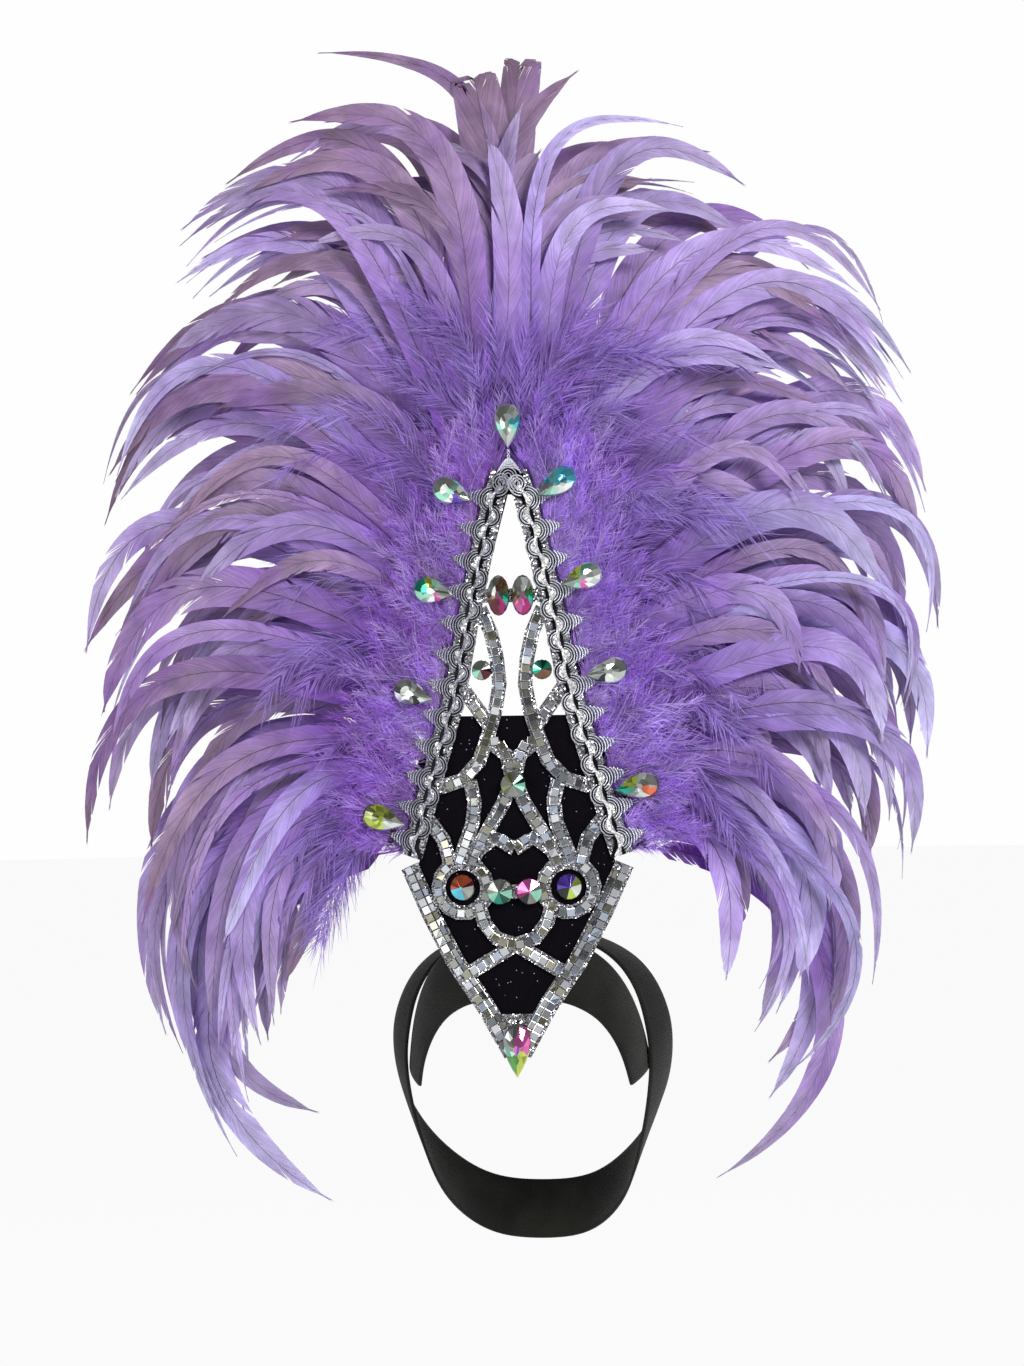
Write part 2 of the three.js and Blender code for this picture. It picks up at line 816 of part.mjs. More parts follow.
const leftPlumes = [
  { from: 0.06, lift: 12, across: 0.50, up: 0.91, hook: 100, wide: 1.0 },
  { from: 0.08, lift: 16, across: 0.66, up: 0.85, hook: 125, wide: 1.0 },
  { from: 0.10, lift: 20, across: 0.76, up: 0.80, hook: 128, wide: 1.0 },
  { from: 0.13, lift: 24, across: 0.76, up: 0.78, hook: 130, wide: 1.0 },
  { from: 0.16, lift: 26, across: 0.76, up: 0.73, hook: 135, wide: 0.6 },
  { from: 0.20, lift: 30, across: 0.93, up: 0.63, hook: 140, wide: 1.0 },
  { from: 0.24, lift: 34, across: 0.88, up: 0.63, hook: 135, wide: 1.0 },
  { from: 0.29, lift: 38, across: 0.92, up: 0.54, hook: 150, wide: 1.0 },
  { from: 0.33, lift: 44, across: 0.93, up: 0.51, hook: 150, wide: 1.0 },
  { from: 0.37, lift: 46, across: 0.97, up: 0.48, hook: 160, wide: 1.0 },
  { from: 0.43, lift: 50, across: 0.94, up: 0.34, hook: 150, wide: 1.0 },
  { from: 0.48, lift: 54, across: 1.01, up: 0.34, hook: 150, wide: 1.0 },
  { from: 0.54, lift: 60, across: 0.94, up: 0.27, hook: 165, wide: 1.0 },
  { from: 0.60, lift: 64, across: 0.92, up: 0.21, hook: 175, wide: 0.6 },
  { from: 0.66, lift: 68, across: 0.98, up: 0.13, hook: 178, wide: 1.0 },
  { from: 0.72, lift: 72, across: 0.85, up: 0.04, hook: 170, wide: 1.0 },
  { from: 0.78, lift: 75, across: 0.85, up: -0.09, hook: 195, wide: 1.0 },
  { from: 0.83, lift: 78, across: 0.75, up: -0.10, hook: 185, wide: 1.0 },
  { from: 0.86, lift: 80, across: 0.70, up: -0.16, hook: 190, wide: 1.0 },
  { from: 0.89, lift: 84, across: 0.67, up: -0.22, hook: 207, wide: 0.6 },
  { from: 0.92, lift: 88, across: 0.66, up: -0.07, hook: 175, wide: 1.0 },
  { from: 0.95, lift: 92, across: 0.48, up: -0.17, hook: 255, wide: 1.0 },
  { from: 0.98, lift: 95, across: 0.46, up: -0.27, hook: 240, wide: 1.0 },
];

const rightPlumes = [
  { from: 0.06, lift: 8, across: 0.38, up: 0.89, hook: 105, wide: 0.6 },
  { from: 0.08, lift: 14, across: 0.51, up: 0.83, hook: 128, wide: 1.0 },
  { from: 0.12, lift: 22, across: 0.76, up: 0.71, hook: 130, wide: 1.0 },
  { from: 0.16, lift: 26, across: 0.81, up: 0.69, hook: 150, wide: 0.6 },
  { from: 0.20, lift: 32, across: 0.88, up: 0.63, hook: 150, wide: 1.0 },
  { from: 0.25, lift: 36, across: 0.86, up: 0.60, hook: 150, wide: 1.0 },
  { from: 0.30, lift: 42, across: 0.79, up: 0.51, hook: 160, wide: 1.0 },
  { from: 0.35, lift: 44, across: 0.91, up: 0.50, hook: 165, wide: 1.0 },
  { from: 0.41, lift: 50, across: 0.89, up: 0.44, hook: 170, wide: 1.0 },
  { from: 0.47, lift: 54, across: 0.93, up: 0.35, hook: 180, wide: 1.0 },
  { from: 0.53, lift: 60, across: 0.85, up: 0.26, hook: 200, wide: 0.6 },
  { from: 0.58, lift: 62, across: 0.89, up: 0.24, hook: 180, wide: 1.0 },
  { from: 0.63, lift: 64, across: 0.90, up: 0.21, hook: 185, wide: 1.0 },
  { from: 0.67, lift: 68, across: 0.80, up: 0.23, hook: 175, wide: 1.0 },
  { from: 0.71, lift: 70, across: 0.76, up: 0.15, hook: 180, wide: 1.0 },
  { from: 0.76, lift: 72, across: 0.86, up: 0.11, hook: 190, wide: 1.0 },
  { from: 0.81, lift: 76, across: 0.77, up: -0.03, hook: 190, wide: 0.6 },
  { from: 0.85, lift: 80, across: 0.68, up: -0.07, hook: 200, wide: 1.0 },
  { from: 0.89, lift: 84, across: 0.54, up: -0.12, hook: 225, wide: 1.0 },
  { from: 0.93, lift: 88, across: 0.54, up: -0.16, hook: 215, wide: 1.0 },
  { from: 0.98, lift: 92, across: 0.42, up: -0.25, hook: 240, wide: 1.0 },
];

// Plumes that rise from the apex, with the side to which each one leans
const topPlumes = [
  { side: -1, from: 0.03, lift: 3, across: 0.46, up: 1.00, hook: 88, wide: 0.6 },
  { side: -1, from: 0.02, lift: 6, across: 0.44, up: 0.92, hook: 92, wide: 1.0 },
  { side: -1, from: 0.01, lift: -3, across: 0.09, up: 0.955, hook: 12, wide: 1.3 },
  { side: 1, from: 0.00, lift: -4, across: 0.01, up: 0.975, hook: 5, wide: 1.3 },
  { side: 1, from: 0.01, lift: 2, across: 0.14, up: 0.96, hook: 50, wide: 1.1 },
  { side: 1, from: 0.03, lift: 8, across: 0.30, up: 0.84, hook: 80, wide: 1.1 },
];

// The front, back and middle layers take turns along the leg
const layerBands = [
  { low: -1.00, high: -0.50 },
  { low: 0.50, high: 1.00 },
  { low: -0.22, high: 0.22 },
];
const plumesPerGroup = 4;
const tabLap = 0.012;

function layerOf(index, count, { low, high }) {
  const share = count > 1 ? (index * 3 % count) / (count - 1) : 0.5;
  return low + share * (high - low);
}

// How far back a layer band's tab reaches, from the one in front to the one behind
function tabDepths({ low, high }) {
  const between = (layer) => rootBehindPlate + layer * layerSpread;
  const front = low <= -1 ? plateWall + clearance : between(low - 0.14) + clearance / 2;
  const back = high >= 1 ? rootStackBack : between(high + 0.14) - clearance / 2;
  return { front, back };
}

// A root tab on the leg holds the quills of one group, and laps the next one
function rootTab(side, start, end, band) {
  const legs = new THREE.SplineCurve(legPath);
  const spans = 2;
  const from = Math.max(0, start - tabLap);
  const to = Math.min(1, end + tabLap);
  const middle = Array.from({ length: spans + 1 }, (_, i) => legs.getPointAt(from + i / spans * (to - from)));
  const outline = strip(middle, () => rootTabWidth / 2);
  const { front, back } = tabDepths(band);
  return slab(side < 0 ? mirrored(outline).reverse() : outline, front, back);
}

function addSpray(plumes, side, sideName) {
  const groups = Math.round(plumes.length / plumesPerGroup);
  const border = (group) => Math.round(group * plumes.length / groups);
  for (let group = 0; group < groups; group += 1) {
    const own = plumes.slice(border(group), border(group + 1));
    const before = plumes[border(group) - 1] ?? own[0];
    const after = plumes[border(group + 1)] ?? own[own.length - 1];
    const start = (before.from + own[0].from) / 2;
    const end = (after.from + own[own.length - 1].from) / 2;
    const band = layerBands[group % layerBands.length];
    const solids = own.map((row, i) => plume(row, side, layerOf(i, own.length, band)));
    solids.push(bowed(rootTab(side, start, end, band)));
    addPiece(`plumes_${sideName}_${group + 1}`, join(solids), "feather");
  }
}

function topSpray() {
  const foot = onPlate({ across: 0, up: 0.985 });
  const half = rootTabWidth / 2;
  const corners = [[-half, -3 * half], [half, -3 * half], [half, half], [-half, half]];
  const outline = corners.map(([x, z]) => new THREE.Vector2(x, foot.y + z));
  const band = layerBands[2];
  const { front, back } = tabDepths(band);
  const solids = topPlumes.map((row, i) => plume(row, row.side, layerOf(i, topPlumes.length, band)));
  solids.push(slab(outline, front + clearance, back - clearance));
  return join(solids);
}

addSpray(leftPlumes, -1, "left");
addSpray(rightPlumes, 1, "right");
addPiece("plumes_top", topSpray(), "feather");

// The felt backing behind the quills, one horseshoe that stays hidden behind the legs

const backingCrown = [
  { across: 0.10, up: 1.030 },
  { across: 0.20, up: 0.978 },
];

function featherBacking() {
  const front = rootStackBack + 2 * clearance;
  const legs = smooth(legMiddle.map(onPlate), 3 * stripStep);
  const leg = strip(legs, () => backingInside, () => backingWidth - backingInside);
  const crown = backingCrown.map(onPlate);
  const outlines = [leg, mirrored(leg).reverse(), crown.concat(mirrored(crown).reverse())];
  return bowed(join(outlines.map((outline) => slab(outline, front, front + backingWall))));
}

addPiece("feather_backing", featherBacking(), "felt");

// Fluff: a lumpy roll of down along the outside of each leg and over the apex

const fluffSections = [
  { along: 0.00, reach: 0.90 },
  { along: 0.06, reach: 1.00 },
  { along: 0.13, reach: 0.85 },
  { along: 0.20, reach: 1.00 },
  { along: 0.27, reach: 0.86 },
  { along: 0.34, reach: 1.04 },
  { along: 0.41, reach: 0.88 },
  { along: 0.48, reach: 1.02 },
  { along: 0.55, reach: 0.90 },
  { along: 0.62, reach: 1.05 },
  { along: 0.69, reach: 0.92 },
  { along: 0.76, reach: 1.08 },
  { along: 0.83, reach: 0.94 },
  { along: 0.90, reach: 1.02 },
  { along: 0.97, reach: 0.80 },
  { along: 1.00, reach: 0.45 },
];

// Across the roll, from the leg outward: shares of its reach, and of its rise to the
// front, with the back kept clear of the plumes
const fluffProfile = [
  { out: 0.00, front: 0.00 },
  { out: 0.22, front: 0.00 },
  { out: 0.40, front: 0.90 },
  { out: 0.68, front: 1.00 },
  { out: 0.92, front: 0.55 },
  { out: 1.00, front: -0.20 },
];

const fluffMiddle = [
  { across: 0.00, up: 1.008 },
  { across: 0.07, up: 1.006 },
  { across: 0.13, up: 0.972 },
  { across: 0.17, up: 0.923 },
  { across: 0.27, up: 0.841 },
  { across: 0.39, up: 0.735 },
  { across: 0.50, up: 0.628 },
  { across: 0.68, up: 0.511 },
  { across: 0.81, up: 0.424 },
  { across: 0.90, up: 0.372 },
];

function fluffRoll(side) {
  const curve = new THREE.SplineCurve(fluffMiddle.map(onPlate));
  const inner = legWidth / 2 + 2 * clearance;
  const rings = fluffSections.map(({ along, reach }) => {
    const foot = curve.getPointAt(along);
    const heading = curve.getTangentAt(along);
    const corner = (out, depth) => {
      const offset = inner + out * reach * fluffReach;
      const x = Math.max(clearance, foot.x - offset * heading.y);
      const z = foot.y + offset * heading.x;
      return new THREE.Vector3(side * x, plateFront + bowAt(x) + depth, z);
    };
    const fronts = fluffProfile.map((row) => corner(row.out, fluffBase - row.front * fluffRise));
    const backs = [0.97, 0.5, 0.0].map((out) => corner(out, fluffBack));
    return fronts.concat(backs);
  });
  return loft(rings);
}

addPiece("fluff_left", fluffRoll(-1), "fluff");
addPiece("fluff_right", fluffRoll(1), "fluff");

// Straps

// The loop over the crown and under the nape: sections down the right side, as shares
// of the loop's half width, its depth and its two heights. Flare is how much wider the
// back edge stands than the front edge, as a share of the strap's width.
const loopSections = [
  { across: 0.00, depth: 0.00, up: 1.00, flare: 0.00, upright: 0.0 },
  { across: 0.45, depth: -0.03, up: 0.72, flare: 0.10, upright: 0.0 },
  { across: 0.76, depth: -0.04, up: -0.03, flare: 0.25, upright: 0.0 },
  { across: 0.93, depth: -0.03, up: -0.16, flare: 0.33, upright: 0.0 },
  { across: 1.00, depth: 0.00, up: -0.33, flare: 0.33, upright: 0.0 },
  { across: 0.965, depth: 0.08, up: -0.50, flare: 0.25, upright: 0.1 },
  { across: 0.85, depth: 0.26, up: -0.68, flare: 0.12, upright: 0.3 },
  { across: 0.68, depth: 0.52, up: -0.84, flare: 0.00, upright: 0.6 },
  { across: 0.38, depth: 0.88, up: -0.97, flare: 0.00, upright: 0.9 },
  { across: 0.00, depth: 1.02, up: -1.00, flare: 0.00, upright: 1.0 },
];

function strapRing(middle, edgeway, outward, width) {
  const half = edgeway.clone().multiplyScalar(width / 2);
  const wall = outward.clone().multiplyScalar(strapWall / 2);
  const belly = outward.clone().multiplyScalar(width * 0.05);
  const point = (share, face) => middle.clone()
    .addScaledVector(half, share)
    .addScaledVector(wall, face)
    .addScaledVector(belly, 1 - share * share);
  const outer = [-1, -0.4, 0.4, 1].map((share) => point(share, 1));
  const inner = [1, 0.4, -0.4, -1].map((share) => point(share, -1));
  return outer.concat(inner);
}

const ringsPerSection = 2;

function strapThrough(rows, width, closed, turn) {
  const count = rows.length * ringsPerSection - (closed ? 0 : ringsPerSection - 1);
  const between = (vectors) => {
    const curve = new THREE.CatmullRomCurve3(vectors, closed);
    const spans = closed ? count : count - 1;
    return Array.from({ length: count }, (_, i) => curve.getPoint(i / spans));
  };
  const edgeways = between(rows.map((row) => row.edgeway));
  const sections = between(rows.map((row) => row.middle)).map((middle, i) => ({
    middle,
    edgeway: edgeways[i].normalize(),
  }));
  const rings = sections.map((section, i) => {
    const before = closed ? sections[(i + count - 1) % count] : sections[Math.max(0, i - 1)];
    const after = closed ? sections[(i + 1) % count] : sections[Math.min(count - 1, i + 1)];
    const heading = after.middle.clone().sub(before.middle).normalize();
    const outward = new THREE.Vector3().crossVectors(heading, section.edgeway);
    outward.normalize().multiplyScalar(turn);
    return strapRing(section.middle, section.edgeway, outward, width);
  });
  return loft(rings, { closed });
}

function headLoop() {
  const half = loopSections.map(({ across, depth, up, flare, upright }) => ({
    middle: new THREE.Vector3(
      across * loopAcross,
      depth * loopDepth,
      up > 0 ? up * loopTopUp : -up * loopNapeUp,
    ),
    edgeway: new THREE.Vector3(flare, 1 - 0.6 * upright, upright).normalize(),
  }));
  const otherHalf = half.slice(1, -1).reverse().map(({ middle, edgeway }) => ({
    middle: new THREE.Vector3(-middle.x, middle.y, middle.z),
    edgeway: new THREE.Vector3(-edgeway.x, edgeway.y, edgeway.z),
  }));
  return strapThrough(half.concat(otherHalf), loopWidth, true, 1);
}

// A front band leaves the plate's back at the brow and turns down the temple
// to lie inside the loop
const bandSections = [
  { across: 0.20, depth: -1.063, up: -0.02, lean: 1.0 },
  { across: 0.36, depth: -1.030, up: -0.03, lean: 1.0 },
  { across: 0.57, depth: -0.82, up: -0.09, lean: 0.9 },
  { across: 0.72, depth: -0.60, up: -0.19, lean: 0.7 },
  { across: 0.81, depth: -0.42, up: -0.31, lean: 0.45 },
  { across: 0.855, depth: -0.27, up: -0.43, lean: 0.2 },
];

function frontBand(side) {
  const sections = bandSections.map(({ across, depth, up, lean }) => ({
    middle: new THREE.Vector3(side * across * loopAcross, depth * loopDepth, -up * loopNapeUp),
    edgeway: new THREE.Vector3(side * 0.28 * (1 - lean), 1 - lean, lean).normalize(),
  }));
  return strapThrough(sections, bandWidth, false, side);
}

addPiece("head_loop_strap", headLoop(), "strap");
addPiece("front_band_left", frontBand(-1), "strap");
addPiece("front_band_right", frontBand(1), "strap");

export default headdress;
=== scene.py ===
# Looks for the carnival feather headdress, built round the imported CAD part.
# Lengths are in millimetres until a mesh is made, in the part's own frame: +Z up, the
# wearer looks toward -Y, and the origin is the crown of the head.

import math
from collections import namedtuple

import bmesh
import bpy
import numpy as np
from mathutils import Matrix, Vector


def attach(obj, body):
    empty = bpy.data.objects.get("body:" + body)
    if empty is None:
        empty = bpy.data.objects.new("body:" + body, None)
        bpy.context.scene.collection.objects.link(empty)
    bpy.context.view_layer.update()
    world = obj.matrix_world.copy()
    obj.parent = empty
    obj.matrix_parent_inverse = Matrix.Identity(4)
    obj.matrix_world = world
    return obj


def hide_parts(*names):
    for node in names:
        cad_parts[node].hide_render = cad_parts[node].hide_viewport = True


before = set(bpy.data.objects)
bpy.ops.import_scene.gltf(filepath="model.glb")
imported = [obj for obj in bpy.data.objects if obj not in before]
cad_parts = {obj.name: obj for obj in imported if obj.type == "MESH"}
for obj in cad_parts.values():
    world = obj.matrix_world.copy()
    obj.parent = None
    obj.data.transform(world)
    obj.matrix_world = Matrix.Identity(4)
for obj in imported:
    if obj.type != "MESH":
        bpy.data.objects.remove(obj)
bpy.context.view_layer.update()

MM = 0.001

# Sizes that the part's source names too

PLATE_HALF_WIDTH = 76
PLATE_HEIGHT = 397
PLATE_TIP_UP = -74
PLATE_FRONT = -100
PLATE_WALL = 2
PLATE_BOW = 18
BOW_STEPS = 3
CLEARANCE = 0.3
RING_RADIUS = 16.5
TAPE_WALL = 1.2
BRAID_WIDTH = 13.7
SCALLOP_PITCH = 20.3
SPRAY_ACROSS = 300
SPRAY_UP = 620
FEATHER_WIDTH = 25
ROOT_BEHIND_PLATE = 13.5
LAYER_SPREAD = 6
LAYER_SPREAD_GROWTH = 0.12
SWEEP_BACK = 0.12
SWEEP_BACK_GROWTH = 0.0006
PEAR = (17, 29, 6)
TIP_PEAR = (18.2, 35, 6)
OVAL = (14.6, 26.5, 6)
ROUND = (17, 17, 5)
SMALL_ROUND = (13.2, 13.2, 5)

# Camera

VIEW_AZIMUTH = 5
VIEW_ROLL = 0.85
VIEW_DISTANCE = 2.2
VIEW_AIM = Vector((0, -0.100, 0.183))
VIEW_LENS = 89.2
VIEW_SENSOR = 36


def placed(name, data):
    """A new object in the scene."""
    made = bpy.data.objects.new(name, data)
    bpy.context.scene.collection.objects.link(made)
    return made


def make_camera():
    camera = placed("camera", bpy.data.cameras.new("camera"))
    turn = math.radians(VIEW_AZIMUTH)
    back = Vector((math.sin(turn), -math.cos(turn), 0))
    camera.location = VIEW_AIM + back * VIEW_DISTANCE
    facing = (-back).to_track_quat("-Z", "Y").to_matrix()
    roll = Matrix.Rotation(math.radians(-VIEW_ROLL), 3, "Z")
    camera.rotation_euler = (facing @ roll).to_euler()
    camera.data.lens = VIEW_LENS
    camera.data.sensor_width = VIEW_SENSOR
    bpy.context.scene.camera = camera


make_camera()


# Colours and curves


def colour(code):
    """The linear red, green and blue of a hex colour."""
    share = np.array([int(code[i : i + 2], 16) for i in (1, 3, 5)]) / 255
    return np.where(share <= 0.04045, share / 12.92, ((share + 0.055) / 1.055) ** 2.4)


def colours(*codes):
    return [colour(code) for code in codes]


def mix(a, b, share):
    share = np.asarray(share)[..., None]
    return a * (1 - share) + b * share


def smooth(points, per_span=14):
    """A Catmull-Rom curve through points."""
    points = np.array(points, float)
    share = np.linspace(0, 1, per_span, endpoint=False)[:, None]
    last = len(points) - 1
    spans = []
    for i in range(last):
        before, a, b, after = (points[max(0, min(last, j))] for j in (i - 1, i, i + 1, i + 2))
        leave, arrive = (b - before) / 2, (after - a) / 2
        cubic = 2 * a - 2 * b + leave + arrive
        square = 3 * b - 3 * a - 2 * leave - arrive
        spans.append(cubic * share**3 + square * share**2 + leave * share + a)
    return np.vstack(spans + [points[-1:]])


def unit(way, least=0.0):
    """Ways of length one."""
    return way / (np.linalg.norm(way, axis=-1, keepdims=True) + least)


def right_of(way):
    """The way that lies a quarter turn to the right of another."""
    return np.stack([way[..., 1], -way[..., 0]], -1)


class Path:
    """A flat path of points across and up, measured by the distance along it."""

    def __init__(self, points):
        self.points = np.array(points, float)
        steps = np.linalg.norm(np.diff(self.points, axis=0), axis=1)
        self.far = np.concatenate([[0], np.cumsum(steps)])
        self.length = self.far[-1]

    def at(self, distance):
        distance = np.asarray(distance, float)
        found = np.stack([np.interp(distance, self.far, self.points[:, k]) for k in (0, 1)], -1)
        beyond = np.maximum(distance - self.length, 0)[..., None]
        return found + beyond * self.end_heading()

    def end_heading(self):
        return unit(self.points[-1] - self.points[-2])

    def heading(self, distance):
        distance = np.clip(distance, 0, self.length)
        gap = self.length / 60
        ahead = self.at(np.minimum(distance + gap, self.length))
        return unit(ahead - self.at(np.maximum(distance - gap, 0)))

    def right(self, distance):
        return right_of(self.heading(distance))

    def beside(self, distance, reach):
        """The point that lies a reach to the right of the path."""
        return self.at(distance) + self.right(distance) * np.asarray(reach)[..., None]


def on_plate(rows):
    rows = np.array(rows, float)
    across = rows[..., 0] * PLATE_HALF_WIDTH
    return np.stack([across, PLATE_TIP_UP + rows[..., 1] * PLATE_HEIGHT], -1)


def stood(flat, y):
    """Points in space from points across and up, and their depths."""
    return np.stack([flat[..., 0], y, flat[..., 1]], -1)


def bow_at(across):
    """How far the plate has fallen back, straight between its bow steps."""
    stations = np.linspace(0, 1, BOW_STEPS + 1)
    return np.interp(np.abs(across) / PLATE_HALF_WIDTH, stations, PLATE_BOW * stations**2)


def face_point(flat, depth):
    """Points of the plate's face at a depth behind its front."""
    return stood(flat, PLATE_FRONT + bow_at(flat[..., 0]) + depth)


# The middles of the plate's strips on the right half, as shares of the plate

LEG = [(0.06, 0.992), (0.10, 0.972), (0.17, 0.923), (0.27, 0.841), (0.39, 0.735)]
LEG += [(0.50, 0.628), (0.68, 0.511), (0.81, 0.424), (0.91, 0.362)]
RIM = [(0.93, 0.347), (0.77, 0.279), (0.54, 0.194), (0.27, 0.118), (0.04, 0.040)]
STRIPS = {
    "vase": [(0.27, 0.770), (0.20, 0.745), (0.13, 0.688), (0.11, 0.645), (0.15, 0.602)]
    + [(0.24, 0.548), (0.33, 0.508), (0.46, 0.488), (0.66, 0.476)],
    "branch": [(0.45, 0.645), (0.32, 0.610), (0.20, 0.578)],
    "curl": [(0.20, 0.552), (0.11, 0.550), (0.04, 0.520), (0.01, 0.490)],
    "arch": [(0.01, 0.488), (0.13, 0.435), (0.24, 0.405), (0.38, 0.350)],
    "hourglass": [(0.38, 0.488), (0.34, 0.455), (0.36, 0.418), (0.42, 0.388), (0.49, 0.352)],
    "thorn": [(0.75, 0.424), (0.62, 0.391), (0.56, 0.350)],
    "cusp": [(0.33, 0.372), (0.14, 0.395), (0.00, 0.376)],
    "bowl": [(0.32, 0.288), (0.25, 0.246), (0.13, 0.225), (0.00, 0.219)],
    "chevron": [(0.00, 0.219), (0.20, 0.196), (0.46, 0.166)],
}
RING_MIDDLE = (0.455, 0.312)

leg_path = Path(smooth(on_plate(LEG)))


def leg_distance(flat):
    """The distance from the nearer leg's middle, for points across and up."""
    point = np.stack([np.abs(flat[..., 0]), flat[..., 1]], -1)
    nearest = np.full(point.shape[:-1], np.inf)
    for start, end in zip(leg_path.points[:-1:3], leg_path.points[3::3]):
        span = end - start
        share = np.clip((point - start) @ span / (span @ span), 0, 1)
        foot = start + share[..., None] * span
        nearest = np.minimum(nearest, np.linalg.norm(point - foot, axis=-1))
    return nearest


def sheet_depth(flat, layer):
    """Where the curved sheet of feathers lies, with the layer within it."""
    far = leg_distance(flat)
    middle = ROOT_BEHIND_PLATE + SWEEP_BACK * far + SWEEP_BACK_GROWTH * far**2
    spread = layer * (LAYER_SPREAD + LAYER_SPREAD_GROWTH * far)
    return PLATE_FRONT + bow_at(flat[..., 0]) + middle + spread


# Meshes


class Pile:
    """Collects many small pieces of mesh with their tints, and makes one object of them."""

    def __init__(self):
        self.points, self.tints, self.wraps, self.corners, self.sizes = [], [], [], [], []
        self.count = 0

    def add(self, points, faces, tints, wraps=None):
        """points holds copies of the same template, whose faces are rows of equal length."""
        points = np.asarray(points, float)
        copies, each = points.shape[:2]
        faces = np.asarray(faces)
        starts = self.count + np.arange(copies) * each
        corners = faces[None] + starts[:, None, None]
        self.points.append(points.reshape(-1, 3))
        self.tints.append(np.broadcast_to(tints, points.shape).reshape(-1, 3))
        flat = np.zeros((copies, each, 2)) if wraps is None else wraps
        self.wraps.append(np.broadcast_to(flat, (copies, each, 2)).reshape(-1, 2))
        self.corners.append(corners.reshape(-1))
        self.sizes.append(np.full(copies * len(faces), faces.shape[1]))
        self.count += copies * each

    def grids(self, points, tints, wraps=None, closed=False):
        """points is copies x rows x columns x 3. Closed grids join their last column to the first."""
        copies, rows, columns = points.shape[:3]
        here = np.arange(rows * columns).reshape(rows, columns)
        beside = np.roll(here, -1, axis=1)
        if not closed:
            here, beside = here[:, :-1], here[:, 1:]
        quads = np.stack([here[:-1], beside[:-1], beside[1:], here[1:]], -1).reshape(-1, 4)
        tints = np.broadcast_to(tints, points.shape).reshape(copies, -1, 3)
        if wraps is not None:
            wraps = np.broadcast_to(wraps, points.shape[:3] + (2,)).reshape(copies, -1, 2)
        self.add(points.reshape(copies, -1, 3), quads, tints, wraps)

    def tube(self, points, radius, sides, tint):
        """A closed cord along points, of one radius or of one for each point."""
        points = np.asarray(points, float)
        heading = unit(np.gradient(points, axis=0), 1e-9)
        across = unit(np.cross(heading, [0.0, 1.0, 0.0]), 1e-9)
        front = np.cross(across, heading)
        turn = np.linspace(0, 2 * math.pi, sides, endpoint=False)
        radius = np.broadcast_to(radius, len(points))[:, None, None]
        turned = turn[None, :, None]
        ring = np.cos(turned) * across[:, None] + np.sin(turned) * front[:, None]
        far = np.concatenate([[0], np.cumsum(np.linalg.norm(np.diff(points, axis=0), axis=1))])
        wraps = np.stack(np.broadcast_arrays(turn[None, :] / 6.283, far[:, None]), -1)
        self.grids((points[:, None] + ring * radius)[None], tint, wraps[None], closed=True)
        last = (len(points) - 1) * sides
        caps = self.count - len(points) * sides
        self.corners.append(np.concatenate([np.arange(sides)[::-1] + caps, np.arange(sides) + caps + last]))
        self.sizes.append(np.full(2, sides))

    def make(self, name, material, slot, nodes=(), flat=False):
        mesh = bpy.data.meshes.new(name)
        points = np.vstack(self.points) * MM
        corners, sizes = np.concatenate(self.corners), np.concatenate(self.sizes)
        mesh.vertices.add(len(points))
        mesh.vertices.foreach_set("co", points.astype(np.float32).ravel())
        mesh.loops.add(len(corners))
        mesh.loops.foreach_set("vertex_index", corners.astype(np.int32))
        mesh.polygons.add(len(sizes))
        starts = np.concatenate([[0], np.cumsum(sizes)[:-1]])
        mesh.polygons.foreach_set("loop_start", starts.astype(np.int32))
        mesh.update(calc_edges=True)
        mesh.polygons.foreach_set("use_smooth", np.full(len(sizes), not flat))
        layer = mesh.uv_layers.new(name="wrap")
        layer.data.foreach_set("uv", np.vstack(self.wraps)[corners].astype(np.float32).ravel())
        tints = mesh.color_attributes.new("tint", "FLOAT_COLOR", "POINT")
        rgba = np.column_stack([np.vstack(self.tints), np.ones(len(points))])
        tints.data.foreach_set("color", rgba.astype(np.float32).ravel())
        mesh.validate()
        finished(placed(name, mesh), material, nodes)


def finished(piece, material, nodes=()):
    piece.data.materials.clear()
    piece.data.materials.append(material)
    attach(piece, "root")
    if nodes:
        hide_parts(*nodes)


# Materials


class Nodes:
    """Short ways to add shader nodes to a material or a world."""

    def __init__(self, owner):
        owner.use_nodes = True
        self.tree = owner.node_tree

    def node(self, kind, inputs=None, **settings):
        made = self.tree.nodes.new("ShaderNode" + kind)
        for name, value in settings.items():
            setattr(made, name, value)
        for socket, value in (inputs or {}).items():
            if isinstance(value, bpy.types.NodeSocket):
                self.link(value, made.inputs[socket])
            else:
                made.inputs[socket].default_value = value
        return made

    def link(self, source, target):
        self.tree.links.new(source, target)

    def place(self, scale=(1, 1, 1), source="Object"):
        """Object or UV coordinates, stretched."""
        where = self.node("TexCoord").outputs[source]
        return self.node("Mapping", {"Vector": where, "Scale": scale}).outputs["Vector"]

    def noise(self, where, scale, detail=2.0, rough=0.5):
        inputs = {"Vector": where, "Scale": scale, "Detail": detail, "Roughness": rough}
        return self.node("TexNoise", inputs).outputs["Fac"]

    def cells(self, where, scale):
        return self.node("TexVoronoi", {"Vector": where, "Scale": scale})

    def span(self, value, low, high, to_low=0.0, to_high=1.0):
        inputs = {"Value": value, "From Min": low, "From Max": high, "To Min": to_low, "To Max": to_high}
        return self.node("MapRange", inputs).outputs["Result"]


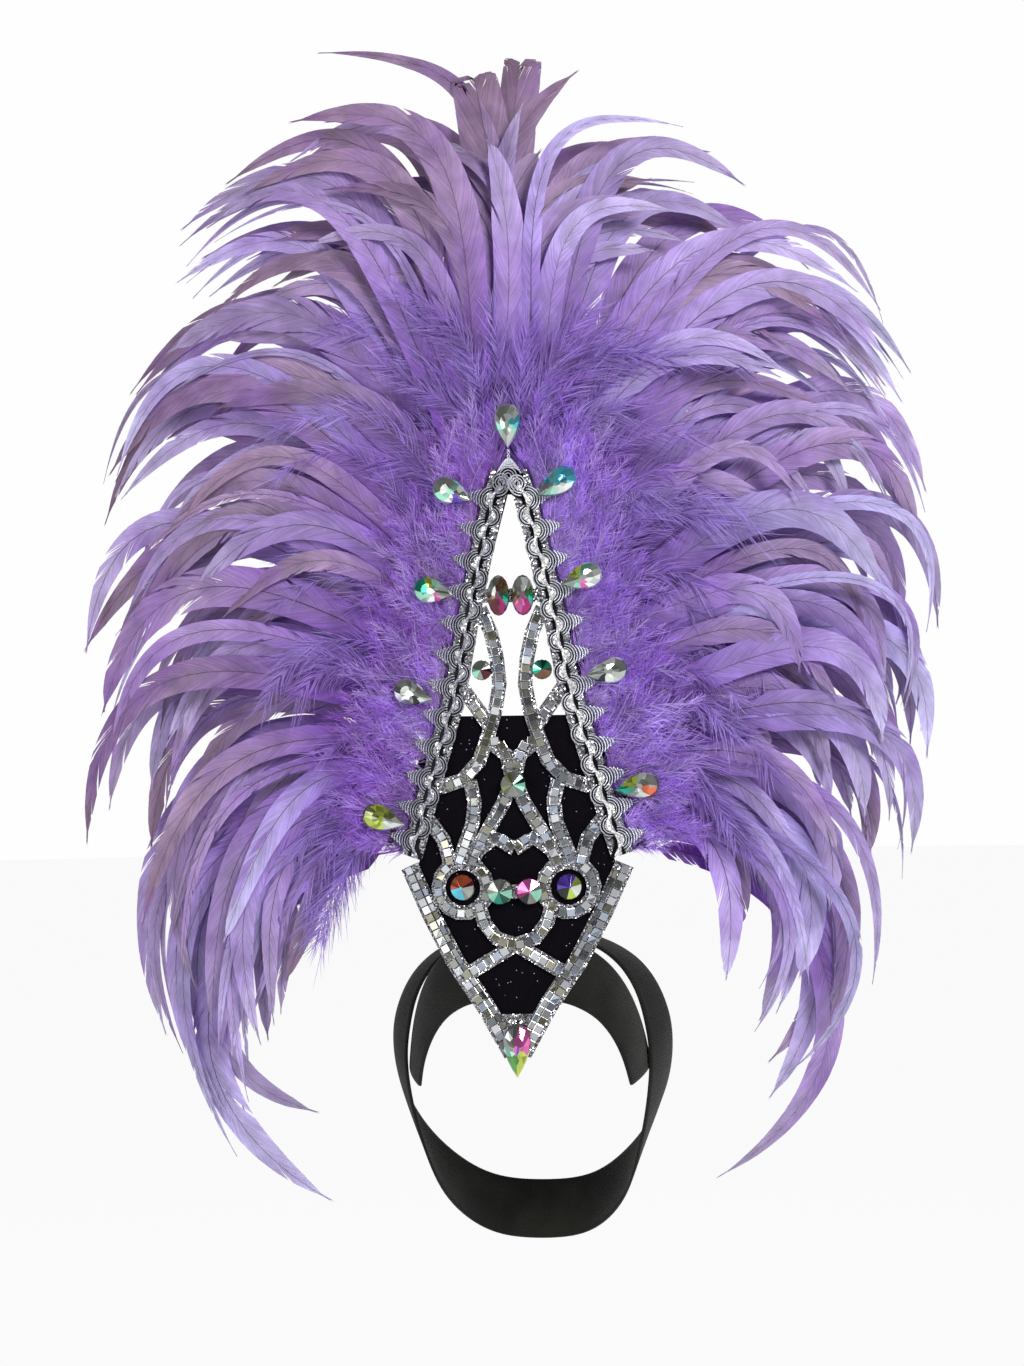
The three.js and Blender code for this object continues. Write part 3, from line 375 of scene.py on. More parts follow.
class Look(Nodes):
    """A material with a Principled shader."""

    def __init__(self, name, **settings):
        self.material = bpy.data.materials.new(name)
        super().__init__(self.material)
        self.shader = self.tree.nodes["Principled BSDF"]
        self.output = self.tree.nodes["Material Output"]
        for socket, value in settings.items():
            self.shader.inputs[socket.replace("_", " ")].default_value = value

    def tint(self):
        return self.node("VertexColor", layer_name="tint").outputs["Color"]

    def maths(self, operation, a, b):
        return self.node("Math", {0: a, 1: b}, operation=operation).outputs[0]

    def blend(self, kind, share, a, b):
        return self.node("Mix", {0: share, 6: a, 7: b}, data_type="RGBA", blend_type=kind).outputs[2]

    def bump(self, height, strength, distance):
        inputs = {"Height": height, "Strength": strength, "Distance": distance}
        self.link(self.node("Bump", inputs).outputs["Normal"], self.shader.inputs["Normal"])

    def paint(self, value):
        self.link(value, self.shader.inputs["Base Color"])
        return value

    def rough(self, value):
        self.link(value, self.shader.inputs["Roughness"])

    def chance(self, cells):
        """A random number for each cell."""
        return self.node("SeparateColor", {0: cells.outputs["Color"]}).outputs[0]

    def vector(self, operation, inputs):
        return self.node("VectorMath", inputs, operation=operation).outputs[0]

    def flakes(self, scale, tint, power, darkest, brightest, spread):
        """Glitter: each flake is painted brighter or darker at random, a painted sparkle, and its surface is
        turned its own way.
        """
        cells = self.cells(self.place(), scale)
        painted_sparkle = self.span(self.maths("POWER", self.chance(cells), power), 0.0, 1.0, darkest, brightest)
        self.paint(self.blend("MULTIPLY", 1.0, tint, painted_sparkle))
        centred = self.vector("SUBTRACT", {0: cells.outputs["Color"], 1: (0.5, 0.5, 0.5)})
        scaled = self.vector("SCALE", {0: centred, "Scale": spread})
        turned = self.vector("ADD", {0: self.node("NewGeometry").outputs["Normal"], 1: scaled})
        self.link(self.vector("NORMALIZE", {0: turned}), self.shader.inputs["Normal"])

    def translucent(self, tint, share):
        """Lets light through thin pieces."""
        through = self.node("BsdfTranslucent", {"Color": tint})
        mixed = self.node("MixShader", {0: share, 1: self.shader.outputs[0], 2: through.outputs[0]})
        self.link(mixed.outputs[0], self.output.inputs["Surface"])


def rgba(code):
    return (*[float(v) for v in colour(code)], 1.0)


def glitter_look():
    look = Look("silver_glitter", Metallic=0.9, Roughness=0.3)
    look.flakes(1250, rgba("#e6e6ec"), power=2.4, darkest=0.10, brightest=1.0, spread=1.2)
    return look.material


def mirror_look():
    look = Look("mirror_tile", Metallic=0.85, Roughness=0.12)
    smudge = look.noise(look.place(), 900, 3)
    look.paint(look.blend("MULTIPLY", 0.25, look.tint(), smudge))
    look.rough(look.span(smudge, 0.3, 0.7, 0.08, 0.2))
    return look.material


def velvet_look():
    look = Look("black_velvet", Roughness=1.0, Specular_IOR_Level=0.1)
    where = look.place()
    specks = look.cells(where, 520)
    near = look.span(specks.outputs["Distance"], 0.12, 0.2, 1.0, 0.0)
    chosen = look.span(look.chance(specks), 0.90, 0.92)
    bright = look.maths("MULTIPLY", near, chosen)
    pile = look.blend("MIX", look.noise(where, 300, 4), rgba("#020103"), rgba("#0b0810"))
    look.paint(look.blend("MIX", bright, pile, rgba("#a9a3c6")))
    look.bump(look.noise(where, 2200, 2), 0.5, 0.0004)
    return look.material


def thread_look():
    look = Look("silver_braid", Metallic=0.85, Roughness=0.36)
    along = look.place((1, 1, 1), "UV")
    wave = {"Vector": along, "Scale": 0.55, "Distortion": 0.4}
    height = look.node("TexWave", wave, bands_direction="DIAGONAL").outputs["Fac"]
    look.paint(look.blend("MULTIPLY", look.span(height, 0, 1, 0.42, 0.05), look.tint(), rgba("#4c4c55")))
    look.bump(height, 0.6, 0.0003)
    return look.material


def sequin_look():
    look = Look("braid_sequin", Metallic=0.5, Roughness=0.25)
    # Painted sparkle: the flakes go up to 1.3 times the tint.
    look.flakes(950, look.tint(), power=1.4, darkest=0.35, brightest=1.3, spread=1.0)
    return look.material


def crystal_look():
    look = Look("cut_crystal", Metallic=0.72, Roughness=0.07, Coat_Weight=0.5, Coat_Roughness=0.03)
    veil = look.noise(look.place(), 160, 2)
    look.paint(look.blend("SOFT_LIGHT", 0.5, look.tint(), veil))
    return look.material


def feather_look():
    sheen = {"Sheen_Weight": 0.12, "Sheen_Roughness": 0.35, "Sheen_Tint": rgba("#cfc3ff")}
    look = Look("feather", Roughness=0.5, **sheen)
    barbs = look.noise(look.place((0.9, 15, 1), "UV"), 1.0, 3, 0.6)
    where = look.place()
    strands = look.span(look.noise(look.place((0.5, 4.2, 1), "UV"), 1.0, 2, 0.5), 0.3, 0.7, 0.76, 1.16)
    streaks = look.maths("MULTIPLY", look.span(barbs, 0.3, 0.7, 0.72, 1.18), strands)
    clouds = look.span(look.noise(where, 55, 3), 0.35, 0.65, 0.82, 1.14)
    dyed = look.span(look.noise(where, 17, 3), 0.48, 0.68, 0.0, 0.45)
    violet = look.blend("MIX", dyed, look.tint(), rgba("#8e52c2"))
    tinted = look.paint(look.blend("MULTIPLY", 1.0, violet, look.maths("MULTIPLY", streaks, clouds)))
    look.rough(look.span(barbs, 0.3, 0.7, 0.40, 0.60))
    look.bump(barbs, 0.55, 0.0006)
    look.translucent(tinted, 0.25)
    return look.material


def down_look():
    look = Look("down", Roughness=0.8, Sheen_Weight=0.2, Sheen_Roughness=0.6)
    patches = look.span(look.noise(look.place(), 45, 3), 0.3, 0.7, 0.75, 1.3)
    look.translucent(look.paint(look.blend("MULTIPLY", 1.0, look.tint(), patches)), 0.35)
    return look.material


def felt_look():
    look = Look("black_felt", Roughness=0.98, Sheen_Weight=0.3)
    where = look.place()
    fibres = look.noise(where, 900, 6, 0.7)
    look.paint(look.blend("MIX", look.noise(where, 60, 4), rgba("#16131b"), rgba("#2c2733")))
    look.bump(fibres, 0.8, 0.0006)
    return look.material


def strap_look():
    look = Look("black_strap", Roughness=0.9, Specular_IOR_Level=0.25, Sheen_Weight=0.1)
    where = look.place()
    grain = look.cells(where, 900).outputs["Distance"]
    wave = {"Vector": where, "Scale": 260, "Distortion": 1.5, "Detail": 1}
    ribs = look.node("TexWave", wave, bands_direction="Z").outputs["Fac"]
    weave = look.maths("MULTIPLY", grain, ribs)
    wear = look.span(look.noise(where, 34, 5), 0.4, 0.7)
    cloth = look.blend("MIX", wear, rgba("#080806"), rgba("#1a1b14"))
    look.paint(look.blend("MULTIPLY", 0.45, cloth, look.span(weave, 0.0, 0.5, 0.4, 1.3)))
    look.bump(weave, 0.6, 0.0006)
    return look.material


def stage_look(name, code, strength, base):
    settings = {"Base_Color": rgba(base), "Emission_Color": rgba(code), "Emission_Strength": strength}
    return Look(name, Roughness=0.9, **settings).material


GLITTER, MIRROR, VELVET, THREAD = glitter_look(), mirror_look(), velvet_look(), thread_look()
SEQUIN, CRYSTAL, FEATHER, DOWN = sequin_look(), crystal_look(), feather_look(), down_look()
FELT, STRAP = felt_look(), strap_look()


# The plate keeps its CAD nodes, and gets mirror tiles one by one


def dress_nodes():
    for name, material in (("front_lattice", GLITTER), ("velvet_panel", VELVET), ("feather_backing", FELT)):
        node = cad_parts[name]
        node.data.materials.clear()
        node.data.materials.append(material)


TILE = 5.1
TILE_GAP = 0.35
TILE_BEVEL = 0.3
TILE_APART = 0.465
TILE_CLEAR = 0.6
TILE_SLOPE = 0.04
RIM_TILES = -1.5
RIM_TAPE = 3.3
RIM_TAPE_TILE = 3.2
TILE_SILVERS = colours("#cfd2d6", "#e9ecef", "#a9aaa2", "#b6b3a0", "#8d9096", "#c6cfe0")


def tile_places():
    """Middles, headings and widths of the tiles: along strips, two rows on the rim and round the rings."""
    rows = [(Path(smooth(on_plate(middle))), 0.0, TILE) for middle in STRIPS.values()]
    rim = Path(smooth(on_plate(RIM)))
    rows += [(rim, RIM_TILES, TILE), (rim, RIM_TAPE, RIM_TAPE_TILE)]
    turn = np.linspace(0, 2 * math.pi, 60)
    circle = np.stack([np.cos(turn), np.sin(turn)], -1) * RING_RADIUS + on_plate([RING_MIDDLE])[0]
    rows.append((Path(circle), 0.0, TILE))
    found = []
    for path, offset, width in rows:
        count = int(path.length / (TILE + TILE_GAP))
        distance = (np.arange(count) + 0.5) * path.length / count
        heading = path.heading(distance)
        flat = path.beside(distance, np.full(count, offset))
        keep = leg_distance(flat) > BRAID_WIDTH / 2 + TILE / 2 + TILE_CLEAR
        found.append(np.column_stack([flat, heading, np.full(count, width)])[keep])
    return np.vstack(found)


def spread_out(places):
    """Drops the tiles that would lie on one that is already laid."""
    kept = []
    for place in places:
        if all(np.hypot(*(place[:2] - other[:2])) > (place[4] + other[4]) * TILE_APART for other in kept):
            kept.append(place)
    return np.array(kept)


def make_tiles():
    random = np.random.default_rng(11)
    right = spread_out(tile_places())
    left = right * [-1, 1, -1, 1, 1]
    left = left[left[:, 0] < -TILE * 0.4]
    places = np.vstack([right, left])
    heading, width = places[:, 2:4], places[:, 4:5]
    side = right_of(heading)
    rings = [(0.0, 0.0), (0.0, -TAPE_WALL + TILE_BEVEL / 2), (TILE_BEVEL, -TAPE_WALL)]
    square = np.array([(-1, -1), (1, -1), (1, 1), (-1, 1)], float)
    corners = []
    slope = random.normal(0, TILE_SLOPE, (len(places), 2))
    for inset, rise in rings:
        for u, v in square:
            u, v = u * (TILE / 2 - inset), v * (width / 2 - inset)
            flat = places[:, :2] + heading * u + side * v
            tilt = slope[:, 0] * u + slope[:, 1] * v[:, 0] if rise else 0.0
            corners.append(face_point(flat, -CLEARANCE + rise + tilt))
    points = np.stack(corners, 1)
    walls = [(k + a, k + (a + 1) % 4, k + (a + 1) % 4 + 4, k + a + 4) for k in (0, 4) for a in range(4)]
    tints = np.array(TILE_SILVERS)[random.integers(0, len(TILE_SILVERS), len(places))]
    tints = tints * random.uniform(0.7, 1.1, (len(places), 1)) * np.where(width < TILE, 0.6, 1.0)
    pile = Pile()
    pile.add(points, walls + [(8, 9, 10, 11), (3, 2, 1, 0)], tints[:, None])
    pile.make("mirror_tiles", MIRROR, "mirror_tape", ["mirror_tape"], flat=True)


dress_nodes()
make_tiles()


# Stones: faceted crowns with a tint for each facet, partly the coloured coating and partly painted reflection
# and shade, and a flat back

Stone = namedtuple("Stone", "name across up turn depth size tones")

ON_LATTICE = -CLEARANCE
ON_TAPE = -TAPE_WALL - 2 * CLEARANCE
ON_VELVET = PLATE_WALL
ON_DOWN = 1 - 6 - 2 * CLEARANCE

COATING_AND_REFLECTION_TONES = {
    "w": "#eef6f0", "s": "#9ba09a", "k": "#262a29", "o": "#7d8458", "g": "#5a9a4e", "d": "#174638",
    "t": "#30ad92", "c": "#62cfe8", "b": "#4f78d8", "v": "#6f50c8", "p": "#ea74bd", "m": "#a62a72",
    "r": "#64202e", "y": "#c4d85c", "a": "#e0704a", "n": "#775640", "i": "#a4e8cc",
}

# Tones run clockwise from the top of each stone as worn, and after the stroke come its table's. They are
# partly the coating's own colours and partly painted reflection and shade: the white, silver and black
# facets.

STONES = [
    Stone("pear_top", 0.00, 1.068, 180, ON_DOWN + 0.6, PEAR, "swciwsiw/iw"),
    Stone("pear_left_1", -0.48, 0.961, 114, ON_DOWN + 0.2, PEAR, "siwsvwis/wi"),
    Stone("pear_right_1", 0.40, 0.972, -123, ON_DOWN + 0.7, PEAR, "iccwwisc/cw"),
    Stone("pear_left_2", -0.66, 0.800, 102, ON_DOWN + 0.8, PEAR, "yiwspwit/iw"),
    Stone("pear_right_2", 0.60, 0.818, -109, ON_DOWN + 0.5, PEAR, "yiwwpisy/wi"),
    Stone("pear_left_3", -0.86, 0.632, 106, ON_DOWN + 1.1, PEAR, "swswksws/sw"),
    Stone("pear_right_3", 0.80, 0.664, -102, ON_DOWN + 0.3, PEAR, "swswwksw/ws"),
    Stone("pear_left_4", -1.14, 0.426, 107, ON_DOWN + 0.5, PEAR, "yyowwyyo/wy"),
    Stone("pear_right_4", 1.05, 0.475, -99, ON_DOWN + 0.5, PEAR, "ywsawsty/ws"),
    Stone("stone_vase_left", -0.258, 0.669, 0, ON_LATTICE, SMALL_ROUND, "sskrrsis/is"),
    Stone("stone_vase_right", 0.258, 0.669, 0, ON_LATTICE, SMALL_ROUND, "tdtnnnti/td"),
    Stone("stone_centre", 0.00, 0.481, 0, ON_TAPE, ROUND, "osdissok/so"),
    Stone("stone_ring_left", -0.455, 0.312, 0, ON_VELVET, ROUND, "aarsscca/ac"),
    Stone("stone_ring_right", 0.455, 0.312, 0, ON_VELVET, ROUND, "vvywykkv/vy"),
    Stone("stone_bar_left", -0.125, 0.306, 0, ON_TAPE, ROUND, "sssidtis/sk"),
    Stone("stone_bar_right", 0.125, 0.306, 0, ON_TAPE, ROUND, "ppsiskmp/pm"),
    Stone("oval_left", -0.103, 0.791, 0, ON_LATTICE, OVAL, "snotmrns/sp"),
    Stone("oval_right", 0.103, 0.791, 0, ON_LATTICE, OVAL, "swgtmpns/ps"),
    Stone("pear_tip", 0.00, 0.046, 180, ON_TAPE, TIP_PEAR, "sppyygis/vp"),
]

PEAR_WIDEST = 0.77
GIRDLE = 16
TONES_ROUND = 8
# Painted light and shade: each facet is made brighter or darker at random, and the table and back get one
# fixed level.
PAINTED_FACET_LIGHT, PAINTED_FACET_LIGHT_TABLE = (0.45, 1.15), (8, 64)
PAINTED_TABLE_LIGHT = 0.9


def is_pear(stone):
    return stone.name.startswith("pear")


def outline_point(stone, turn):
    if is_pear(stone):
        return np.stack([np.sin(turn) * np.sin(turn / 2) / PEAR_WIDEST, np.cos(turn)], -1)
    return np.stack([np.sin(turn), np.cos(turn)], -1)


def stone_rings(stone):
    """Rings from the flat back to the table: the share of the outline, the rise and the turn."""
    if stone.size in (ROUND, SMALL_ROUND):
        return [(0.90, 0.0, 0.0), (1.00, 0.20, 0.0), (0.94, 0.38, 0.5), (0.10, 1.0, 0.0)]
    return [(0.90, 0.0, 0.0), (1.00, 0.20, 0.0), (0.90, 0.46, 0.5), (0.52, 0.88, 0.0), (0.20, 1.0, 0.5)]


def make_stone(stone, seed):
    random = np.random.default_rng(seed)
    width, length, height = stone.size
    spec = stone_rings(stone)
    rings = []
    for size, rise, step in spec:
        turn = (np.arange(GIRDLE) + step) / GIRDLE * 2 * math.pi
        flat = outline_point(stone, turn) * size * [width / 2, length / 2]
        rings.append(np.column_stack([flat[:, 0], np.full(GIRDLE, -rise * height), flat[:, 1]]))
    triangles, levels = [], []
    for level, (low, high) in enumerate(zip(rings[:-1], rings[1:])):
        for i in range(GIRDLE):
            j = (i + 1) % GIRDLE
            if level == 0 or spec[level + 1][2] > spec[level][2]:
                triangles += [(low[i], low[j], high[i]), (low[j], high[j], high[i])]
            else:
                triangles += [(low[i], high[j], high[i]), (low[i], low[j], high[j])]
            levels += [level] * 2
    for ring, level in ((rings[-1], "table"), (rings[0][::-1], "back")):
        for i in range(GIRDLE):
            triangles.append((ring[i], ring[(i + 1) % GIRDLE], ring.mean(0)))
            levels.append(level)
    points = np.array(triangles) @ stone_turn(stone) + stone_seat(stone)
    middle = points.mean(1) - stone_seat(stone)
    clock = np.mod(np.arctan2(middle[:, 0], middle[:, 2]) / (2 * math.pi), 1)
    outer, table = stone.tones.split("/")
    tints = []
    # A random painted brightness for each facet, on top of its tone.
    facet_lights = random.uniform(*PAINTED_FACET_LIGHT, PAINTED_FACET_LIGHT_TABLE)
    for level, at in zip(levels, clock):
        if level in ("table", "back"):
            tone, facet_light = table[int(at * 2) % 2], PAINTED_TABLE_LIGHT
        else:
            place = int(at * TONES_ROUND + 0.5 + 0.25 * level) % TONES_ROUND
            tone, facet_light = outer[place], facet_lights[level, int(at * 12)]
        tints.append(colour(COATING_AND_REFLECTION_TONES[tone]) * facet_light)
    pile = Pile()
    pile.add(points, [(0, 1, 2)], np.array(tints)[:, None])
    pile.make(stone.name + "_cut", CRYSTAL, "cut_crystal", [stone.name], flat=True)


def stone_span(stone):
    """The length across which the stone bears on the bowed plate."""
    return stone.size[is_pear(stone) and stone.name != "pear_tip"]


def stone_seat(stone):
    x, z = on_plate([(stone.across, stone.up)])[0]
    span = stone_span(stone)
    before, after = bow_at(x - span / 2), bow_at(x + span / 2)
    back = min(bow_at(x), (before + after) / 2)
    return np.array([x, PLATE_FRONT + back + stone.depth, z])


def stone_turn(stone):
    """Turns rows of points by the stone's turn in the face and by the plate's slope."""
    x = stone.across * PLATE_HALF_WIDTH
    span = stone_span(stone)
    slope = math.atan((bow_at(x + span / 2) - bow_at(x - span / 2)) / span)
    turned = Matrix.Rotation(slope, 3, "Z") @ Matrix.Rotation(math.radians(stone.turn), 3, "Y")
    return np.array(turned).T


for number, stone in enumerate(STONES):
    make_stone(stone, 100 + number)


# Feathers

Plume = namedtuple("Plume", "root lift across up hook wide", defaults=[1.0])

LEFT_ROWS = [
    (0.06, 12, 0.50, 0.91, 100), (0.08, 16, 0.66, 0.85, 125), (0.10, 20, 0.76, 0.80, 128),
    (0.13, 24, 0.76, 0.78, 130), (0.16, 26, 0.76, 0.73, 135, 0.6), (0.20, 30, 0.93, 0.63, 140),
    (0.24, 34, 0.88, 0.63, 135), (0.29, 38, 0.92, 0.54, 150), (0.33, 44, 0.93, 0.51, 150),
    (0.37, 46, 0.97, 0.48, 160), (0.43, 50, 0.94, 0.34, 150), (0.48, 54, 1.01, 0.34, 150),
    (0.54, 60, 0.94, 0.27, 165), (0.60, 64, 0.92, 0.21, 175, 0.6), (0.66, 68, 0.98, 0.13, 178),
    (0.72, 72, 0.85, 0.04, 170), (0.78, 75, 0.85, -0.09, 195), (0.83, 78, 0.75, -0.10, 185),
    (0.86, 80, 0.70, -0.16, 190), (0.89, 84, 0.67, -0.22, 207, 0.6), (0.92, 88, 0.66, -0.07, 175),
    (0.95, 92, 0.48, -0.17, 255), (0.98, 95, 0.46, -0.27, 240),
]

RIGHT_ROWS = [
    (0.06, 8, 0.38, 0.89, 105, 0.6), (0.08, 14, 0.51, 0.83, 128), (0.12, 22, 0.76, 0.71, 130),
    (0.16, 26, 0.81, 0.69, 150, 0.6), (0.20, 32, 0.88, 0.63, 150), (0.25, 36, 0.86, 0.60, 150),
    (0.30, 42, 0.79, 0.51, 160), (0.35, 44, 0.91, 0.50, 165), (0.41, 50, 0.89, 0.44, 170),
    (0.47, 54, 0.93, 0.35, 180), (0.53, 60, 0.85, 0.26, 200, 0.6), (0.58, 62, 0.89, 0.24, 180),
    (0.63, 64, 0.90, 0.21, 185), (0.67, 68, 0.80, 0.23, 175), (0.71, 70, 0.76, 0.15, 180),
    (0.76, 72, 0.86, 0.11, 190), (0.81, 76, 0.77, -0.03, 190, 0.6), (0.85, 80, 0.68, -0.07, 200),
    (0.89, 84, 0.54, -0.12, 225), (0.93, 88, 0.54, -0.16, 215), (0.98, 92, 0.42, -0.25, 240),
]

LEFT_PLUMES, RIGHT_PLUMES = ([Plume(*row) for row in rows] for rows in (LEFT_ROWS, RIGHT_ROWS))

TOP_PLUMES = [
    (-1, Plume(0.03, 3, 0.46, 1.00, 88, 0.6)),
    (-1, Plume(0.02, 6, 0.44, 0.92, 92, 1.0)),
    (-1, Plume(0.01, -3, 0.09, 0.955, 12, 1.3)),
    (1, Plume(0.00, -4, 0.01, 0.975, 5, 1.3)),
    (1, Plume(0.01, 2, 0.14, 0.96, 50, 1.1)),
    (1, Plume(0.03, 8, 0.30, 0.84, 80, 1.1)),
]

LAYER_BANDS = [(-1.00, -0.50), (0.50, 1.00), (-0.22, 0.22)]
PLUMES_PER_GROUP = 4
HANGING_PLUMES = 3
WIDTH_ALONG = [0.00, 0.15, 0.34, 0.52, 0.68, 0.82, 0.92, 1.00]
WIDTH_SHARE = [0.25, 0.62, 0.90, 0.98, 0.84, 0.58, 0.32, 0.05]

CLUMP_PITCH = 5.0
BARB_STATIONS = np.array([0.0, 0.3, 0.62, 0.86, 1.0])
VANE_START = 0.07
QUILL_RADIUS = 0.62
QUILL_STEPS = 26
BLUNT_WIDTH = [0.25, 0.62, 0.88, 0.98, 1.00, 0.98, 0.92, 0.72]
BARB_LEAN_ROOT, BARB_LEAN_TIP = (36, 44), (11, 15)
CAMBER = (0.8, 2.8)
SPLIT_OPEN, SPLIT_SHORT = (0.8, 4.0), (0.04, 0.3)
CLUMP_OVERLAP = -0.25
BLUNT_FROM = 1.2

# Fill-in feathers for each plume of a group, and how long they are beside it
FULL_FILLERS, FULL_REACH = 2.4, (0.82, 1.0)
NARROW_FILLERS, NARROW_REACH = 1.3, (0.86, 1.02)
SHORT_FILLERS, SHORT_REACH = 2.2, (0.62, 0.84)
WISPS, WISP_REACH = 2.0, (0.24, 0.56)
TOP_FILLERS, TOP_WISPS = 30, 22

DUSK, MAUVE, LILAC, LAVENDER, PALE = colours("#8c6f88", "#ae93b8", "#b394da", "#c0b3f2", "#dcd5fd")
VIOLET, QUILL = colours("#8044c0", "#33213f")
DOWN_VIOLET, DOWN_PLUM, DOWN_PALE = colours("#9c6bdc", "#984cc0", "#dccbfd")


def plume_path(plume, side):
    """The plume's quill from its root on the leg to its tip, as a cubic curve."""
    root = leg_path.at(plume.root * leg_path.length)
    tip = np.array([plume.across * SPRAY_ACROSS, plume.up * SPRAY_UP])
    arm = (0.36 + 0.0018 * abs(plume.hook - plume.lift)) * np.linalg.norm(tip - root)

    def aim(degrees):
        return np.array([math.sin(math.radians(degrees)), math.cos(math.radians(degrees))])

    leave, arrive = root + aim(plume.lift) * arm, tip - aim(plume.hook) * arm
    t = np.linspace(0, 1, 64)[:, None]
    rest = 1 - t
    curve = rest**3 * root + 3 * rest**2 * t * leave + 3 * rest * t**2 * arrive + t**3 * tip
    return Path(curve * [side, 1])


def feather_tints_and_shade(share, outward, warmth):
    """Violet at the root, mauve or lilac along the vane, and paler to the tip on cool feathers, times a
    painted shade that darkens the root and the barbs near the quill.
    """
    middle = mix(mix(LAVENDER, LILAC, np.clip(warmth * 2, 0, 1)), MAUVE, np.clip(warmth * 2 - 1, 0, 1))
    tip = mix(PALE, mix(MAUVE, DUSK, warmth), np.clip(warmth * 1.5 - 0.3, 0, 1))
    tint = mix(VIOLET, middle, np.clip(share * 2.6 - 0.45, 0, 1))
    tint = mix(tint, tip, np.clip(share * 2.0 - 1.1, 0, 0.85))
    # Painted shade: the tint darkens toward the root, where the feathers crowd together, and toward the
    # quill.
    painted_shade = (0.66 + 0.34 * np.clip(share * 2.6, 0, 1)) * (0.86 + 0.2 * outward)
    return tint * painted_shade[..., None]


def add_feather(pile, plume, side, layer, random, warmth, splits=0.05, blunt=False):
    """A feather of barb clumps on both sides of its quill. Warmth runs from lavender to mauve."""
    path = plume_path(plume, side)
    length = path.length
    half = FEATHER_WIDTH / 2 * plume.wide * random.uniform(0.88, 1.08)
    clumps = max(10, int(length * (1 - VANE_START) / CLUMP_PITCH))
    edges = length * np.linspace(VANE_START, 1.0, clumps + 1)
    start, end = edges[:-1, None], edges[1:, None]
    roll = random.normal(0, 0.22)
    twist = random.normal(0, 0.38)
    camber = random.uniform(*CAMBER)
    strength = random.uniform(0.78, 1.12)
    lean_root, lean_tip = (math.radians(random.uniform(*lean)) for lean in (BARB_LEAN_ROOT, BARB_LEAN_TIP))
    widths = BLUNT_WIDTH if blunt else WIDTH_SHARE
    splits = splits * random.uniform(0.2, 2.0)

    def depth(flat, reach, along):
        arch = camber * (reach / FEATHER_WIDTH * 2) ** 2
        turn = np.tan(roll + twist * (along / length) ** 2)
        return sheet_depth(flat, layer) + arch + reach * turn

    column = (clumps, 1)
    s = BARB_STATIONS[None, :]
    for hand in (-1, 1):
        broad = half * random.uniform(0.8, 1.12)
        wave = 1 + 0.05 * np.sin(np.linspace(0, random.uniform(6, 16), clumps + 1) + random.uniform(0, 6))
        split = random.random(column) < splits
        open_by = np.where(split, random.uniform(*SPLIT_OPEN, column), CLUMP_OVERLAP)
        short = 1 - np.where(split, random.uniform(*SPLIT_SHORT, column), random.uniform(0, 0.015, column))
        lift = np.where(split, random.normal(0, 1.4, column), random.normal(0, 0.12, column))
        rows = []
        for edge, sign, swell in ((start, 1.0, wave[:-1, None]), (end, -1.0, wave[1:, None])):
            share = edge / length
            lean = lean_root + (lean_tip - lean_root) * share**0.7
            reach_end = np.interp((share + 0.08) * 0.95, WIDTH_ALONG, widths) * broad * short * swell
            along = edge + reach_end / np.tan(lean) * s**1.12 + sign * open_by * s**2
            if blunt:
                along = np.minimum(along, length + random.uniform(-4, 3, column))
            reach = reach_end * s**0.92
            flat = path.beside(along, reach * hand)
            y = depth(flat, reach * hand, np.minimum(along, length)) + lift * s**2
            wrap = np.stack([reach, np.broadcast_to(edge, reach.shape)], -1)
            rows.append((stood(flat, y), *(np.broadcast_to(each, reach.shape) for each in (share, s)), wrap))
        points, share, outward, wraps = (np.stack(pair, 1) for pair in zip(*rows))
        wraps = wraps / 10 + random.uniform(0, 50)
        tint = feather_tints_and_shade(share, outward, warmth)
        tint = tint * random.normal(1, 0.02, (clumps, 1, 1, 1)) * strength
        pile.grids(points, np.clip(tint, 0, 1), wraps)

    stations = np.linspace(0, length, QUILL_STEPS)
    flat = path.at(stations)
    quill = stood(flat, depth(flat, np.zeros(QUILL_STEPS), stations))
    radius = QUILL_RADIUS * (0.18 + 0.82 * (1 - stations / length) ** 1.3)
    tint = mix(QUILL, MAUVE * 0.7, random.uniform(0.1, 1.0))
    pile.tube(quill, radius * (0.6 + 0.4 * plume.wide), 4, tint)


WISP_BARBS = 110
WISP_BARB = 0.24
WISP_STATIONS = np.array([[0.0, 0.35, 0.7, 1.0]])
WISP_TAPER = np.array([1.0, 0.9, 0.6, 0.1])[None, :, None]
WISP_QUILL = np.linspace(0.35, 0.08, 12)


